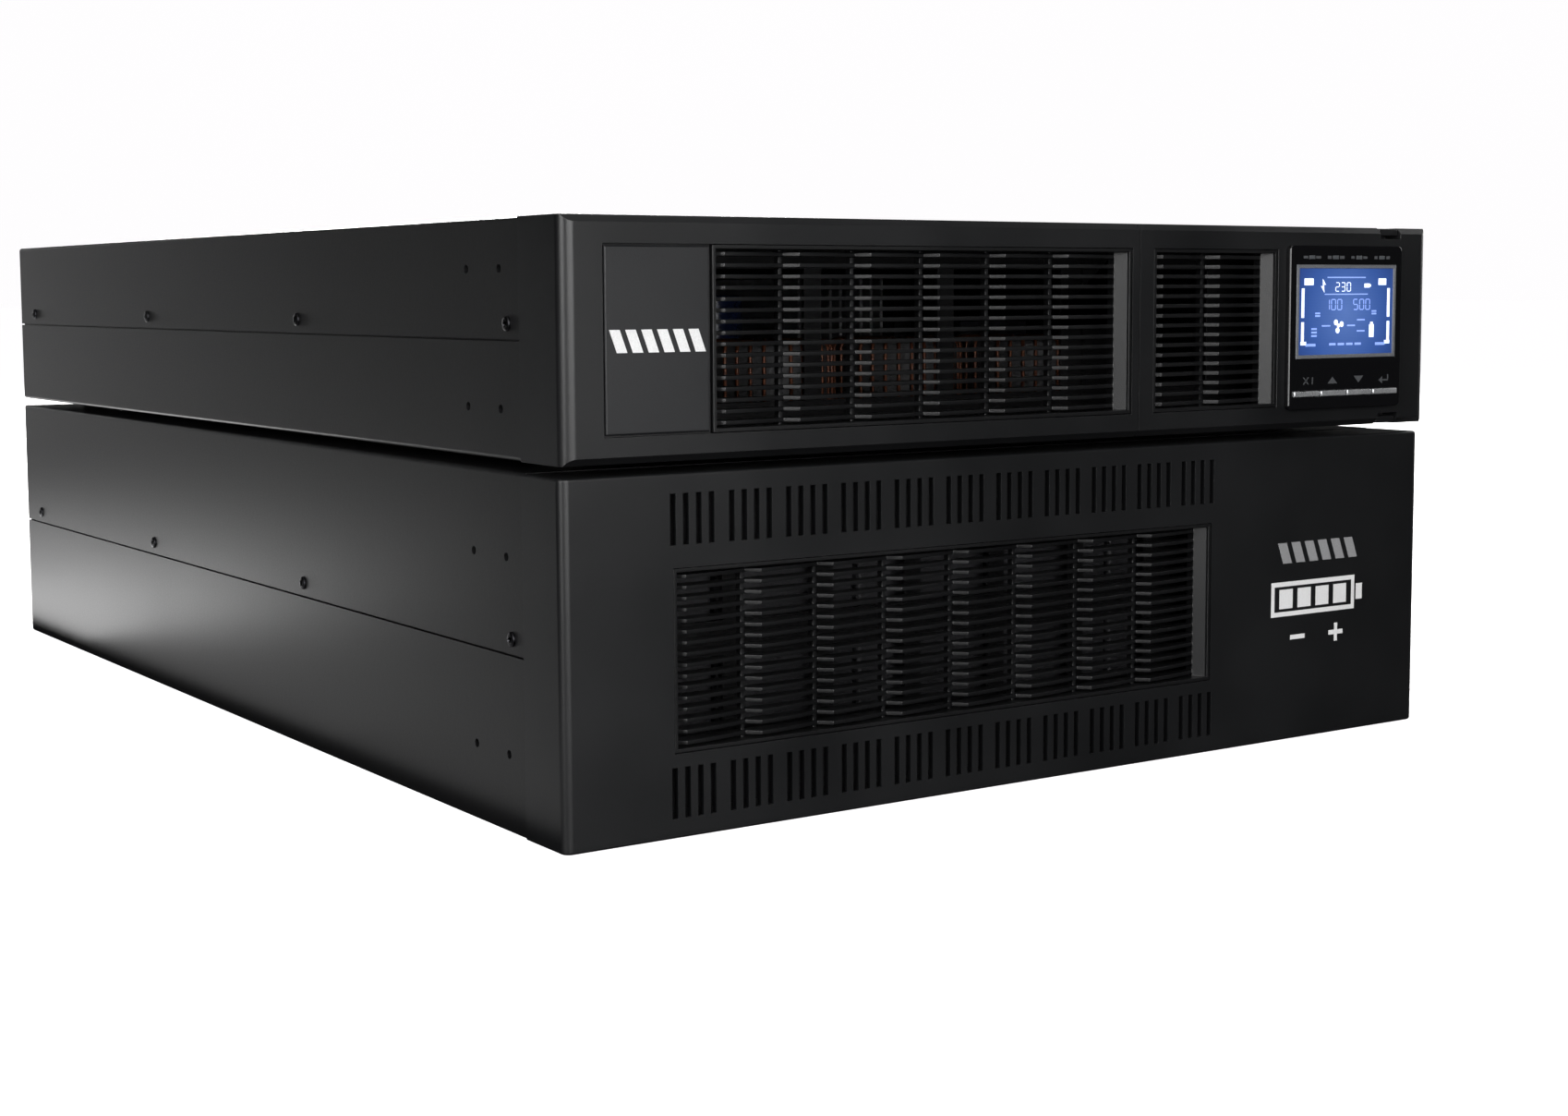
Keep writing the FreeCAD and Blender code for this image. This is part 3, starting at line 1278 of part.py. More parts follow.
def serial_port():
    """Nine-pin socket: flange, D-shaped shell, pins and two jack screws."""
    x = slot_cover_x + serial_offset
    z = port_z
    seat = rear + port_wall
    flange = block(x, serial_flange[0], rear, seat, z, serial_flange[1])
    flange = flange.makeFillet(serial_flange_corner, edges_along(flange, V(0, 1, 0), lambda p: True))

    def shell(grow, y0, y1):
        w = serial_shell[0] / 2 + grow
        h = serial_shell[1] / 2 + grow
        narrow = w - serial_slope
        return prism([V(x - w, y0, z + h), V(x + w, y0, z + h), V(x + narrow, y0, z - h), V(x - narrow, y0, z - h)],
                     V(0, y1 - y0, 0))

    outer = shell(0, rear - serial_depth, rear + serial_depth)
    body = fuse([flange, outer]).cut(shell(-serial_wall, rear + port_wall / 2, rear + serial_depth + 1))
    pins = []
    for count, side in ((5, 1), (4, -1)):
        for n in range(count):
            across = (n - (count - 1) / 2) * serial_pin_pitch[0]
            pins.append(rod_y(serial_pin[0], x + across, rear, rear + serial_pin[1],
                              z + side * serial_pin_pitch[1] / 2))
    jacks = [hexagon(x + side * jack_offset, z, jack_hex, seat, jack_length) for side in (-1, 1)]
    bores = [rod_y(jack_bore, x + side * jack_offset, seat + 1, seat + jack_length + 1, z) for side in (-1, 1)]
    return fuse([body] + pins + jacks).cut(bores)


def open_socket(x, z, size, face, cavity_depth):
    """A square shell, open to the rear."""
    body = block(x, size[0], face - size[1], face, z, size[2])
    return body.cut(block(x, size[0] - 2 * port_wall, face - cavity_depth, face + 1, z, size[2] - 2 * port_wall))


def usb_port():
    """Square device port with its tongue."""
    x = slot_cover_x + usb_offset
    face = rear + port_wall
    floor = face - usb_cavity_depth
    tongue = block(x, usb_tongue[0], floor - 1, floor - 1 + usb_tongue[1], port_z, usb_tongue[2])
    return fuse([open_socket(x, port_z, usb_size, face, usb_cavity_depth), tongue])


def power_off_port():
    """Two-pin header for a remote emergency power-off switch."""
    x = slot_cover_x + off_port_offset
    face = rear + off_port_proud
    floor = face - off_port_cavity_depth
    pins = [rod_y(off_port_pin[0], x + side * off_port_pin_pitch / 2, floor - 1, floor - 1 + off_port_pin[1],
                  off_port_z) for side in (-1, 1)]
    return fuse([open_socket(x, off_port_z, off_port_size, face, off_port_cavity_depth)] + pins)


def ups_battery_connector():
    return power_connector(breaker_x, ups_connector_z)


def terminal_block():
    """Barrier strip for the mains and load wires, behind its cover."""
    length, depth, height = terminal_block_size
    z = fan_z
    face = rear + depth / 2
    base = block(terminal_x, length, face - depth, face, z, height)
    flange = block(terminal_x, terminal_block_flange[0], rear, rear + terminal_block_flange[1],
                   z, terminal_block_flange[2])
    pitch = length / terminal_ways
    floor = face - terminal_well[1]
    wells = []
    clamps = []
    for n in range(terminal_ways):
        x = terminal_x + (n - (terminal_ways - 1) / 2) * pitch
        wells.append(block(x, pitch - terminal_well[0], floor, face + 1, z, height + 1))
        start = floor - terminal_clamp_sunk
        clamps.append(rod_y(terminal_clamp[0], x, start, start + terminal_clamp[1], z))
    return fuse([fuse([base, flange]).cut(wells)] + clamps)


def terminal_cover():
    """Folded cover over the terminals, open below for the wires."""
    w, d, h = terminal_cover_size
    z = fan_z
    t = terminal_cover_wall
    shell = block(terminal_x, w, rear, rear + d, z, h)
    shell = shell.makeFillet(terminal_cover_bend, edges_along(shell, V(1, 0, 0), lambda p: p.y > rear + d - 0.1))
    hollow = block(terminal_x, w - 2 * t, rear - 1, rear + d - t, z, h - 2 * t)
    wire_way = block(terminal_x, w - 2 * wire_way_margin[0], rear - 1, rear + d - wire_way_margin[1],
                     z - h / 2, 2 * t + 2)
    bosses = [rod_y(terminal_boss_radius, x, rear, rear + d - t / 2, sz) for x, sz in terminal_screw_places()]
    drills = [rod_y(screw_hole_radius, x, rear - 1, rear + d + 1, sz) for x, sz in terminal_screw_places()]
    return fuse([shell.cut([hollow, wire_way])] + bosses).cut(drills)


def ground_stud():
    """Earth stud, held by a nut on the outside."""
    x = slot_cover_x
    inner = rear - panel_sheet
    stud = rod_y(stud_radius, x, inner - stud_head[1], rear + stud_length, stud_z)
    nut = hexagon(x, stud_z, stud_hex, rear, stud_nut)
    head = rod_y(stud_head[0], x, inner - stud_head[1], inner, stud_z)
    return fuse([stud, nut, head])


def terminal_cover_screws():
    """Long screws through the terminal cover into the rear panel."""
    made = []
    face = rear + terminal_cover_size[1]
    for x, z in terminal_screw_places():
        head = rod_y(screw_head_radius, x, face, face + screw_head_height, z)
        shank = rod_y(screw_shank_radius, x, rear - terminal_screw_hold, face, z)
        made.append(round_head(fuse([head, shank]), lambda p: p.y > face + 1))
    return made


def connector_screws(x, z):
    return [rear_screw(cx, cz, connector_flange) for cx, cz in connector_screw_places(x, z)]


def ups_screws():
    made = side_screw_set(ups_base, ups_seam) + terminal_cover_screws()
    made += connector_screws(breaker_x, ups_connector_z)
    made += [rear_screw(x, z, guard_wire) for x, z in fan_screw_places()]
    made += [rear_screw(x, z, panel_sheet) for x, z in slot_screw_places()]
    return made + [inside_screw(x, z, chassis_front + panel_sheet, boss_radius) for x, z in boss_places()]


def pack_screws():
    made = side_screw_set(0.0, pack_seam)
    for place in pack_connector_places:
        made += connector_screws(place, pack_middle)
    made += [rear_screw(x, z) for x, z in rear_screw_places(0.0, pack_height)]
    return made + [inside_screw(x, z, chassis_front + sheet, screw_head_radius) for x, z in pack_boss_places()]


# ---------------------------------------------------------------- build
os.makedirs("parts", exist_ok=True)
save("pack_tray", pack_tray())
save("pack_top_cover", pack_top_cover())
save("pack_rear_panel", pack_rear_panel())
save("pack_front_cover", pack_front_cover())
save("pack_wave_grille", wave_grille(pack_window_left - half_width, pack_window_low, pack_front, pack_waves))
for row in range(battery_rows):
    save(f"battery_row_{row + 1}", battery_row(row))
save("battery_terminals", battery_terminals())
save("battery_links", battery_links())
save("battery_hold_downs", battery_hold_downs())
save("pack_connectors", pack_connectors())
save("pack_breaker", breaker(pack_breaker_x, pack_middle))
save("pack_breaker_lever", breaker_lever(pack_breaker_x, pack_middle))
save("pack_cables", pack_cables())
save("pack_screws", pack_screws())
save("ups_tray", ups_tray())
save("ups_top_cover", ups_top_cover())
save("ups_front_plate", ups_front_plate())
save("ups_rear_panel", ups_rear_panel())
save("ups_feet", ups_feet())
save("left_front_cover", left_front_cover())
save("left_wave_grille", wave_grille(left_window, ups_window_low, ups_front, left_waves))
save("badge_plate", badge_plate())
save("right_front_cover", right_front_cover())
save("right_wave_grille", wave_grille(right_window, ups_window_low, ups_front, right_waves))
save("lock_tab_upper", lock_tab(1))
save("lock_tab_lower", lock_tab(-1))
save("display_housing", display_housing())
save("display_screen", display_screen())
save("display_frame", display_frame())
save("display_board", display_board())
save("status_lamps", status_lamps())
for n, name in enumerate(("key_escape", "key_up", "key_down", "key_enter")):
    save(name, display_key(n))
save("power_board", power_board())
save("heatsinks", heatsinks())
save("bus_capacitors", bus_capacitors())
save("filter_inductors", filter_inductors())
save("board_modules", board_modules())
save("control_board", control_board())
for name, x in zip(("left", "right"), fan_places):
    save(f"fan_frame_{name}", fan_frame(x))
    save(f"fan_rotor_{name}", fan_rotor(x))
    save(f"fan_guard_{name}", fan_guard(x))
save("input_breaker", breaker(breaker_x, breaker_z))
save("input_breaker_lever", breaker_lever(breaker_x, breaker_z))
save("terminal_block", terminal_block())
save("terminal_cover", terminal_cover())
save("slot_cover", slot_cover())
save("serial_port", serial_port())
save("usb_port", usb_port())
save("power_off_port", power_off_port())
save("ups_battery_connector", ups_battery_connector())
save("ground_stud", ground_stud())
save("ups_screws", ups_screws())
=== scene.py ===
# %% [markdown]
# # A rack-mounted power supply on its battery pack
#
# The real object is two black steel cases. A slim power module stands on rubber feet on a taller
# battery pack, and both have moulded black fronts with wavy air grilles. The metal and plastic shapes
# come ready-made from the design file, so this lesson gives them rounded edges, finishes, small
# printed marks and light. Everything is in metres.

import json
import math
import random

import bmesh
import bpy
from mathutils import Matrix, Vector


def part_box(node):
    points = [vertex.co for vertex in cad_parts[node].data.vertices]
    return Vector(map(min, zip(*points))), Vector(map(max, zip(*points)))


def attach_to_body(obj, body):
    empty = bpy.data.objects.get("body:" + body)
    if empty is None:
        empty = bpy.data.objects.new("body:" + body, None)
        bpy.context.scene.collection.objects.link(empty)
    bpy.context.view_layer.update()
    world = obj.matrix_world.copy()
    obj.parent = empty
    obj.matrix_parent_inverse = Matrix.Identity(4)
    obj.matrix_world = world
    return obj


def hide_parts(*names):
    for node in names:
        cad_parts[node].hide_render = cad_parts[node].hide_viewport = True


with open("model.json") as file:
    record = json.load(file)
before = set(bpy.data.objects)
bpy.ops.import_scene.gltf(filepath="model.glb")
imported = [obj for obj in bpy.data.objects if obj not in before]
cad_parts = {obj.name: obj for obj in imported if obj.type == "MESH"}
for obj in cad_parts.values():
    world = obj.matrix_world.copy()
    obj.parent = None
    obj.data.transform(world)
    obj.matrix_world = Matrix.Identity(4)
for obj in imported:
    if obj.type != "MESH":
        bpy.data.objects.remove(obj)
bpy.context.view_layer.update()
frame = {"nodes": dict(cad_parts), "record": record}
MM = 0.001


def middle_of(node):
    """The middle of a design node's box."""
    low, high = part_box(node)
    return (low + high) / 2


# %% [markdown]
# ## The camera
#
# The camera looks at the left front corner from a little above the middle of the front. A slightly
# long lens keeps the upright edges almost parallel, as a product shot does. It is set first, because
# every later choice about detail depends on what can be seen.

# %% Camera
CAMERA_PLACE = Vector((-0.58538, -1.00233, 0.19536))
CAMERA_TURN = math.radians(34.115)
CAMERA_RISE = math.radians(-5.261)
CAMERA_ROLL = math.radians(-0.254)
LENS_LENGTH = 51.64
LENS_SHIFT = -0.0377


def make_camera():
    """A camera that looks from CAMERA_PLACE along its turn and rise."""
    data = bpy.data.cameras.new("camera")
    data.lens = LENS_LENGTH
    data.sensor_width = 36.0
    data.shift_y = LENS_SHIFT
    data.clip_end = 50.0
    camera = bpy.data.objects.new("camera", data)
    bpy.context.scene.collection.objects.link(camera)
    ahead = Vector((math.sin(CAMERA_TURN) * math.cos(CAMERA_RISE),
                    math.cos(CAMERA_TURN) * math.cos(CAMERA_RISE),
                    math.sin(CAMERA_RISE)))
    camera.rotation_mode = "QUATERNION"
    roll = Matrix.Rotation(CAMERA_ROLL, 3, "Z").to_quaternion()
    camera.rotation_quaternion = ahead.to_track_quat("-Z", "Y") @ roll
    camera.location = CAMERA_PLACE
    bpy.context.scene.camera = camera
    return camera


camera = make_camera()
print("camera looks from", [round(c, 3) for c in camera.location])

# %% [markdown]
# ## Tools for node materials
#
# Every finish is built from shader nodes. The helpers below add a node and join its sockets in one
# line, which keeps each finish short enough to read. Patterns read Object coordinates, which are the
# object's own metres here, so a pattern's scale says how many of its cells fit in one metre.

# %% Material helpers
def new_finish(name):
    """An empty node material, its Principled shader and a place where patterns are read."""
    material = bpy.data.materials.new(name)
    material.use_nodes = True
    tree = material.node_tree
    tree.nodes.clear()
    shader = tree.nodes.new("ShaderNodeBsdfPrincipled")
    output = tree.nodes.new("ShaderNodeOutputMaterial")
    tree.links.new(shader.outputs["BSDF"], output.inputs["Surface"])
    return material, tree, shader


def add_node(tree, kind, **numbers):
    """A new node with plain numbers on the named inputs; an underscore stands for a space."""
    node = tree.nodes.new(kind)
    for socket, number in numbers.items():
        node.inputs[socket.replace("_", " ")].default_value = number
    return node


def object_place(tree, stretch=(1.0, 1.0, 1.0)):
    """Object coordinates, stretched along an axis where a pattern has a direction."""
    source = tree.nodes.new("ShaderNodeTexCoord")
    mapping = add_node(tree, "ShaderNodeMapping", Scale=stretch)
    tree.links.new(source.outputs["Object"], mapping.inputs["Vector"])
    return mapping.outputs["Vector"]


def noise(tree, place, cells_per_metre, detail=3.0, roughness=0.5):
    node = add_node(tree, "ShaderNodeTexNoise", Scale=cells_per_metre, Detail=detail, Roughness=roughness)
    tree.links.new(place, node.inputs["Vector"])
    return node.outputs["Fac"]


def cells(tree, place, cells_per_metre, output="Distance"):
    node = add_node(tree, "ShaderNodeTexVoronoi", Scale=cells_per_metre)
    tree.links.new(place, node.inputs["Vector"])
    return node.outputs[output]


def remap(tree, value, low, high, to_low, to_high):
    """Maps a stretch of a pattern's values onto another stretch, and stops at its ends."""
    node = add_node(tree, "ShaderNodeMapRange", From_Min=low, From_Max=high, To_Min=to_low, To_Max=to_high)
    tree.links.new(value, node.inputs["Value"])
    return node.outputs["Result"]


def ramp(tree, value, stops):
    """Turns a pattern into colour: stops are (place, (r, g, b))."""
    node = tree.nodes.new("ShaderNodeValToRGB")
    bar = node.color_ramp
    while len(bar.elements) < len(stops):
        bar.elements.new(0.5)
    for element, (place, colour) in zip(bar.elements, stops):
        element.position = place
        element.color = (*colour, 1.0)
    tree.links.new(value, node.inputs["Fac"])
    return node.outputs["Color"]


def combine(tree, a, b, operation="ADD"):
    node = tree.nodes.new("ShaderNodeMath")
    node.operation = operation
    for socket, value in zip(node.inputs, (a, b)):
        if isinstance(value, (int, float)):
            socket.default_value = value
        else:
            tree.links.new(value, socket)
    return node.outputs[0]


def bump(tree, shader, height, depth, strength=1.0):
    """Raises the surface by depth metres where height is 1."""
    node = add_node(tree, "ShaderNodeBump", Distance=depth, Strength=strength)
    tree.links.new(height, node.inputs["Height"])
    tree.links.new(node.outputs["Normal"], shader.inputs["Normal"])


def blend(tree, first, second, share):
    """A mixture of two patterns that holds this share of the first."""
    part = combine(tree, first, share, "MULTIPLY")
    return combine(tree, part, combine(tree, second, 1.0 - share, "MULTIPLY"))


def colour_by(tree, shader, pattern, stops):
    """Colours the surface by a pattern, through the stops of a ramp."""
    tree.links.new(ramp(tree, pattern, stops), shader.inputs["Base Color"])


def set_shader(shader, **numbers):
    """Sets plain numbers on the shader's own sockets; an underscore stands for a space."""
    for socket, number in numbers.items():
        shader.inputs[socket.replace("_", " ")].default_value = number


def gloss_by(tree, shader, pattern, low, high):
    """Lets a pattern move the roughness between low and high."""
    tree.links.new(remap(tree, pattern, 0.3, 0.7, low, high), shader.inputs["Roughness"])


print("material helpers ready")

# %% [markdown]
# ## Powder coat on the steel cases
#
# The cases are sprayed with black powder and baked. Up close the coat has a fine orange-peel ripple
# about half a millimetre across, and its gloss drifts slowly over a panel. Two noises of different
# size make the ripple, and a third, very large one moves the roughness a little.

# %% Powder coat
def powder_coat():
    material, tree, shader = new_finish("powder_coat_black")
    place = object_place(tree)
    drift = noise(tree, place, 7.0, 2.0)
    grain = noise(tree, place, 1500.0, 2.0)
    peel = noise(tree, place, 420.0, 3.0)
    colour_by(tree, shader, blend(tree, grain, drift, 0.55),
              [(0.30, (0.0038, 0.0038, 0.0042)), (0.55, (0.0065, 0.0065, 0.0070)),
               (0.80, (0.0110, 0.0110, 0.0115))])
    rough = combine(tree, remap(tree, drift, 0.3, 0.7, 0.325, 0.345), remap(tree, grain, 0.3, 0.7, 0.0, 0.08))
    tree.links.new(rough, shader.inputs["Roughness"])
    set_shader(shader, Specular_IOR_Level=0.42)
    bump(tree, shader, blend(tree, peel, grain, 0.7), 0.00007, 0.55)
    return material


POWDER = powder_coat()
print(POWDER.name, "has", len(POWDER.node_tree.nodes), "nodes")

# %% [markdown]
# ## Moulded fronts
#
# The fronts are injection-moulded in black plastic with a fine etched grain. The grain is a close
# cell pattern, and moulded parts also show slow waves of gloss where the plastic cooled. The same
# function makes the case fronts, the grilles and the badge plate, with different greys.

# %% Moulded plastic
def moulded_plastic(name, dark, pale, gloss, grain_per_metre=2300.0, grain_depth=0.00003, specular=0.45):
    material, tree, shader = new_finish(name)
    place = object_place(tree)
    grain = cells(tree, place, grain_per_metre)
    flow = noise(tree, place, 16.0, 2.0)
    fleck = noise(tree, place, 2600.0, 1.0)
    colour_by(tree, shader, blend(tree, fleck, flow, 0.6), [(0.32, dark), (0.72, pale)])
    rough = combine(tree, remap(tree, flow, 0.3, 0.7, *gloss), remap(tree, grain, 0.0, 0.6, 0.06, 0.0))
    tree.links.new(rough, shader.inputs["Roughness"])
    set_shader(shader, Specular_IOR_Level=specular)
    bump(tree, shader, grain, grain_depth, 0.6)
    return material


FRONT_PLASTIC = moulded_plastic("front_moulding_black", (0.0032, 0.0034, 0.0038), (0.0062, 0.0064, 0.0072),
                                (0.34, 0.42), specular=0.50)
GRILLE_PLASTIC = moulded_plastic("grille_moulding_black", (0.0026, 0.0027, 0.0030), (0.0050, 0.0052, 0.0057),
                                 (0.32, 0.38), specular=0.50)
BADGE_PLASTIC = moulded_plastic("badge_plate_grey", (0.0060, 0.0063, 0.0072), (0.0105, 0.0109, 0.0122),
                                (0.38, 0.46), 1700.0, specular=0.50)
FAN_PLASTIC = moulded_plastic("fan_plastic_black", (0.010, 0.010, 0.011), (0.020, 0.020, 0.021), (0.42, 0.52))
BREAKER_PLASTIC = moulded_plastic("breaker_case_grey", (0.055, 0.056, 0.060), (0.085, 0.086, 0.090),
                                  (0.40, 0.50))
LEVER_PLASTIC = moulded_plastic("breaker_lever_black", (0.010, 0.010, 0.011), (0.020, 0.020, 0.022),
                                (0.22, 0.30))
SOCKET_PLASTIC = moulded_plastic("battery_socket_grey", (0.15, 0.155, 0.165), (0.21, 0.215, 0.225),
                                 (0.40, 0.50))
TERMINAL_PLASTIC = moulded_plastic("terminal_block_black", (0.018, 0.018, 0.018), (0.032, 0.032, 0.032),
                                   (0.38, 0.48))
HEADER_PLASTIC = moulded_plastic("header_green", (0.018, 0.13, 0.045), (0.030, 0.19, 0.070), (0.38, 0.48))
BATTERY_PLASTIC = moulded_plastic("battery_case_dark", (0.028, 0.028, 0.031), (0.050, 0.050, 0.054),
                                  (0.42, 0.55), 1300.0)
MODULE_PLASTIC = moulded_plastic("relay_block_dark", (0.020, 0.020, 0.026), (0.040, 0.040, 0.048),
                                 (0.35, 0.48))
print("moulded finishes:", len([m for m in bpy.data.materials if "Principled BSDF" in m.node_tree.nodes]))

# %% [markdown]
# ## Gloss, glass and keys
#
# The display's face is polished black plastic: nearly a mirror, with faint dust and hairline rubs
# that only show in the gloss. The keys are painted silver, and their fine metal flake is a cell
# pattern that shifts the colour of each flake a little.

# %% Gloss black, silver paint, pale trim
def gloss_black():
    material, tree, shader = new_finish("display_face_gloss")
    place = object_place(tree)
    rubs = noise(tree, object_place(tree, (1.0, 1.0, 24.0)), 130.0, 4.0)
    dust = noise(tree, place, 3200.0, 1.0)
    colour_by(tree, shader, dust, [(0.66, (0.0035, 0.0035, 0.004)), (0.80, (0.012, 0.012, 0.013))])
    tree.links.new(remap(tree, rubs, 0.45, 0.75, 0.06, 0.17), shader.inputs["Roughness"])
    set_shader(shader, Coat_Weight=0.35, Coat_Roughness=0.04)
    return material


def flake_paint(name, dark, pale, rough):
    material, tree, shader = new_finish(name)
    place = object_place(tree)
    flake = cells(tree, place, 5200.0, "Color")
    split = tree.nodes.new("ShaderNodeSeparateColor")
    tree.links.new(flake, split.inputs["Color"])
    colour_by(tree, shader, split.outputs["Red"], [(0.0, dark), (1.0, pale)])
    gloss_by(tree, shader, noise(tree, place, 300.0), rough, rough + 0.12)
    set_shader(shader, Metallic=0.75)
    bump(tree, shader, split.outputs["Red"], 0.00001, 0.4)
    return material


GLOSS_BLACK = gloss_black()
SILVER_PAINT = flake_paint("silver_key_paint", (0.42, 0.43, 0.45), (0.78, 0.79, 0.80), 0.24)
SCREEN_TRIM = flake_paint("screen_trim_grey", (0.24, 0.25, 0.27), (0.40, 0.41, 0.44), 0.36)
print("display finishes ready")

# %% [markdown]
# ## Lit surfaces
#
# A lit display is a sheet of light behind a printed glass. The glow is brighter in the middle than at
# its edges, and the liquid crystal's dots leave a fine grid. Waves along X and Z make the grid, and
# the glow comes from a soft spherical gradient centred on the screen.

# %% Lit screen
screen_low, screen_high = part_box("display_screen")
screen_centre = middle_of("display_screen")
screen_size = screen_high - screen_low


def dot_grid(tree, place, dots_per_metre):
    """1 on the liquid crystal's dots and a little less on the thin lines between them."""
    lines = []
    for direction in ("X", "Z"):
        wave = tree.nodes.new("ShaderNodeTexWave")
        wave.bands_direction = direction
        wave.inputs["Scale"].default_value = dots_per_metre / 3.2
        tree.links.new(place, wave.inputs["Vector"])
        lines.append(remap(tree, wave.outputs["Fac"], 0.0, 0.35, 0.80, 1.0))
    return combine(tree, lines[0], lines[1], "MULTIPLY")


def lit_surface(name, stops, power, reach, dots_per_metre):
    """Light that fades from the screen's middle through the colours in stops."""
    material, tree, shader = new_finish(name)
    source = tree.nodes.new("ShaderNodeTexCoord")
    mapping = add_node(tree, "ShaderNodeMapping", Location=[-c / reach for c in screen_centre],
                       Scale=(1 / reach,) * 3)
    tree.links.new(source.outputs["Object"], mapping.inputs["Vector"])
    glow = tree.nodes.new("ShaderNodeTexGradient")
    glow.gradient_type = "SPHERICAL"
    tree.links.new(mapping.outputs["Vector"], glow.inputs["Vector"])
    colour = ramp(tree, glow.outputs["Fac"], stops)
    tree.links.new(colour, shader.inputs["Base Color"])
    tree.links.new(colour, shader.inputs["Emission Color"])
    dots = dot_grid(tree, source.outputs["Object"], dots_per_metre)
    tree.links.new(combine(tree, dots, power, "MULTIPLY"), shader.inputs["Emission Strength"])
    set_shader(shader, Roughness=0.12)
    return material


SCREEN_BLUE = lit_surface("screen_blue_glow", [(0.0, (0.010, 0.024, 0.10)), (0.45, (0.026, 0.062, 0.21)),
                                               (1.0, (0.062, 0.115, 0.30))], 0.85, 0.042, 1700.0)
SCREEN_WHITE = lit_surface("screen_white_segments", [(0.0, (0.62, 0.72, 0.95)), (1.0, (0.72, 0.80, 1.0))],
                           1.05, 0.05, 1700.0)
SCREEN_PALE = lit_surface("screen_pale_segments", [(0.0, (0.14, 0.23, 0.58)), (1.0, (0.24, 0.34, 0.72))],
                          0.95, 0.05, 1700.0)
print("screen is", [round(c / MM, 1) for c in screen_size], "mm")

# %% [markdown]
# ## Metals
#
# Zinc-plated steel has a soft rolled grain and patches of slightly different sheen. Brushed or rolled
# metals use one noise stretched a long way along the rolling direction. Copper, tinned lugs and
# aluminium only change the colours and the grain.

# %% Metal finishes
def rolled_metal(name, dark, pale, rough, stretch=(60.0, 2.0, 60.0), depth=0.000012):
    material, tree, shader = new_finish(name)
    grain = noise(tree, object_place(tree, stretch), 26.0, 5.0, 0.6)
    patches = noise(tree, object_place(tree), 38.0, 3.0)
    mixture = blend(tree, grain, patches, 0.5)
    colour_by(tree, shader, mixture, [(0.30, dark), (0.70, pale)])
    gloss_by(tree, shader, mixture, rough, rough + 0.16)
    set_shader(shader, Metallic=1.0)
    bump(tree, shader, grain, depth, 0.6)
    return material


ZINC = rolled_metal("zinc_plated_steel", (0.44, 0.45, 0.44), (0.66, 0.67, 0.65), 0.30)
EVEN_GRAIN = (9.0, 9.0, 9.0)
BLACK_ZINC = rolled_metal("black_zinc_screws", (0.018, 0.018, 0.020), (0.050, 0.050, 0.054), 0.28, EVEN_GRAIN)
PLATED_WIRE = rolled_metal("plated_guard_wire", (0.55, 0.56, 0.57), (0.80, 0.81, 0.82), 0.16, (7.0, 7.0, 7.0))
NICKEL = rolled_metal("nickel_port_shell", (0.50, 0.50, 0.48), (0.72, 0.71, 0.68), 0.22, EVEN_GRAIN)
COPPER = rolled_metal("copper_strap", (0.48, 0.20, 0.11), (0.80, 0.40, 0.25), 0.24)
TINNED = rolled_metal("tinned_terminal", (0.46, 0.45, 0.42), (0.68, 0.67, 0.62), 0.30, EVEN_GRAIN)
ALUMINIUM = rolled_metal("heatsink_aluminium", (0.55, 0.56, 0.57), (0.80, 0.81, 0.82), 0.28)
print("metal finishes ready")

# %% [markdown]
# ## Rubber, sleeves, circuit boards and windings
#
# Behind the fronts are boards and coils, seen when a cover comes off. A board is dark green with
# paler copper tracks under the lacquer: thin straight cells of a brick pattern stand for them well.

# %% Inner finishes
def rubber():
    material, tree, shader = new_finish("foot_rubber")
    place = object_place(tree)
    dust = noise(tree, place, 260.0, 4.0)
    colour_by(tree, shader, dust, [(0.40, (0.012, 0.012, 0.012)), (0.80, (0.045, 0.044, 0.042))])
    gloss_by(tree, shader, dust, 0.66, 0.86)
    bump(tree, shader, noise(tree, place, 1800.0, 2.0), 0.00005, 0.5)
    return material


def circuit_board():
    material, tree, shader = new_finish("circuit_board_green")
    place = object_place(tree)
    tracks = add_node(tree, "ShaderNodeTexBrick", Scale=90.0, Mortar_Size=0.035,
                      Color1=(0.010, 0.085, 0.040, 1.0), Color2=(0.014, 0.115, 0.052, 1.0),
                      Mortar=(0.035, 0.20, 0.075, 1.0))
    tree.links.new(place, tracks.inputs["Vector"])
    tree.links.new(tracks.outputs["Color"], shader.inputs["Base Color"])
    gloss_by(tree, shader, noise(tree, place, 60.0), 0.22, 0.36)
    bump(tree, shader, tracks.outputs["Fac"], 0.00003, 0.6)
    return material


def wound_wire():
    """Enamelled copper wire: each turn's gloss and colour differs a little."""
    material, tree, shader = new_finish("enamelled_wire")
    place = object_place(tree)
    shade = noise(tree, place, 420.0, 2.0)
    colour_by(tree, shader, shade, [(0.30, (0.085, 0.022, 0.008)), (0.70, (0.16, 0.050, 0.018))])
    gloss_by(tree, shader, shade, 0.34, 0.46)
    set_shader(shader, Metallic=0.55, Coat_Weight=0.12)
    return material


def shrink_sleeve():
    material, tree, shader = new_finish("capacitor_sleeve_blue")
    place = object_place(tree)
    wrinkle = noise(tree, object_place(tree, (1.0, 1.0, 8.0)), 90.0, 3.0)
    colour_by(tree, shader, wrinkle, [(0.35, (0.008, 0.014, 0.045)), (0.70, (0.014, 0.026, 0.085))])
    gloss_by(tree, shader, wrinkle, 0.16, 0.30)
    bump(tree, shader, noise(tree, place, 700.0), 0.00002, 0.4)
    return material


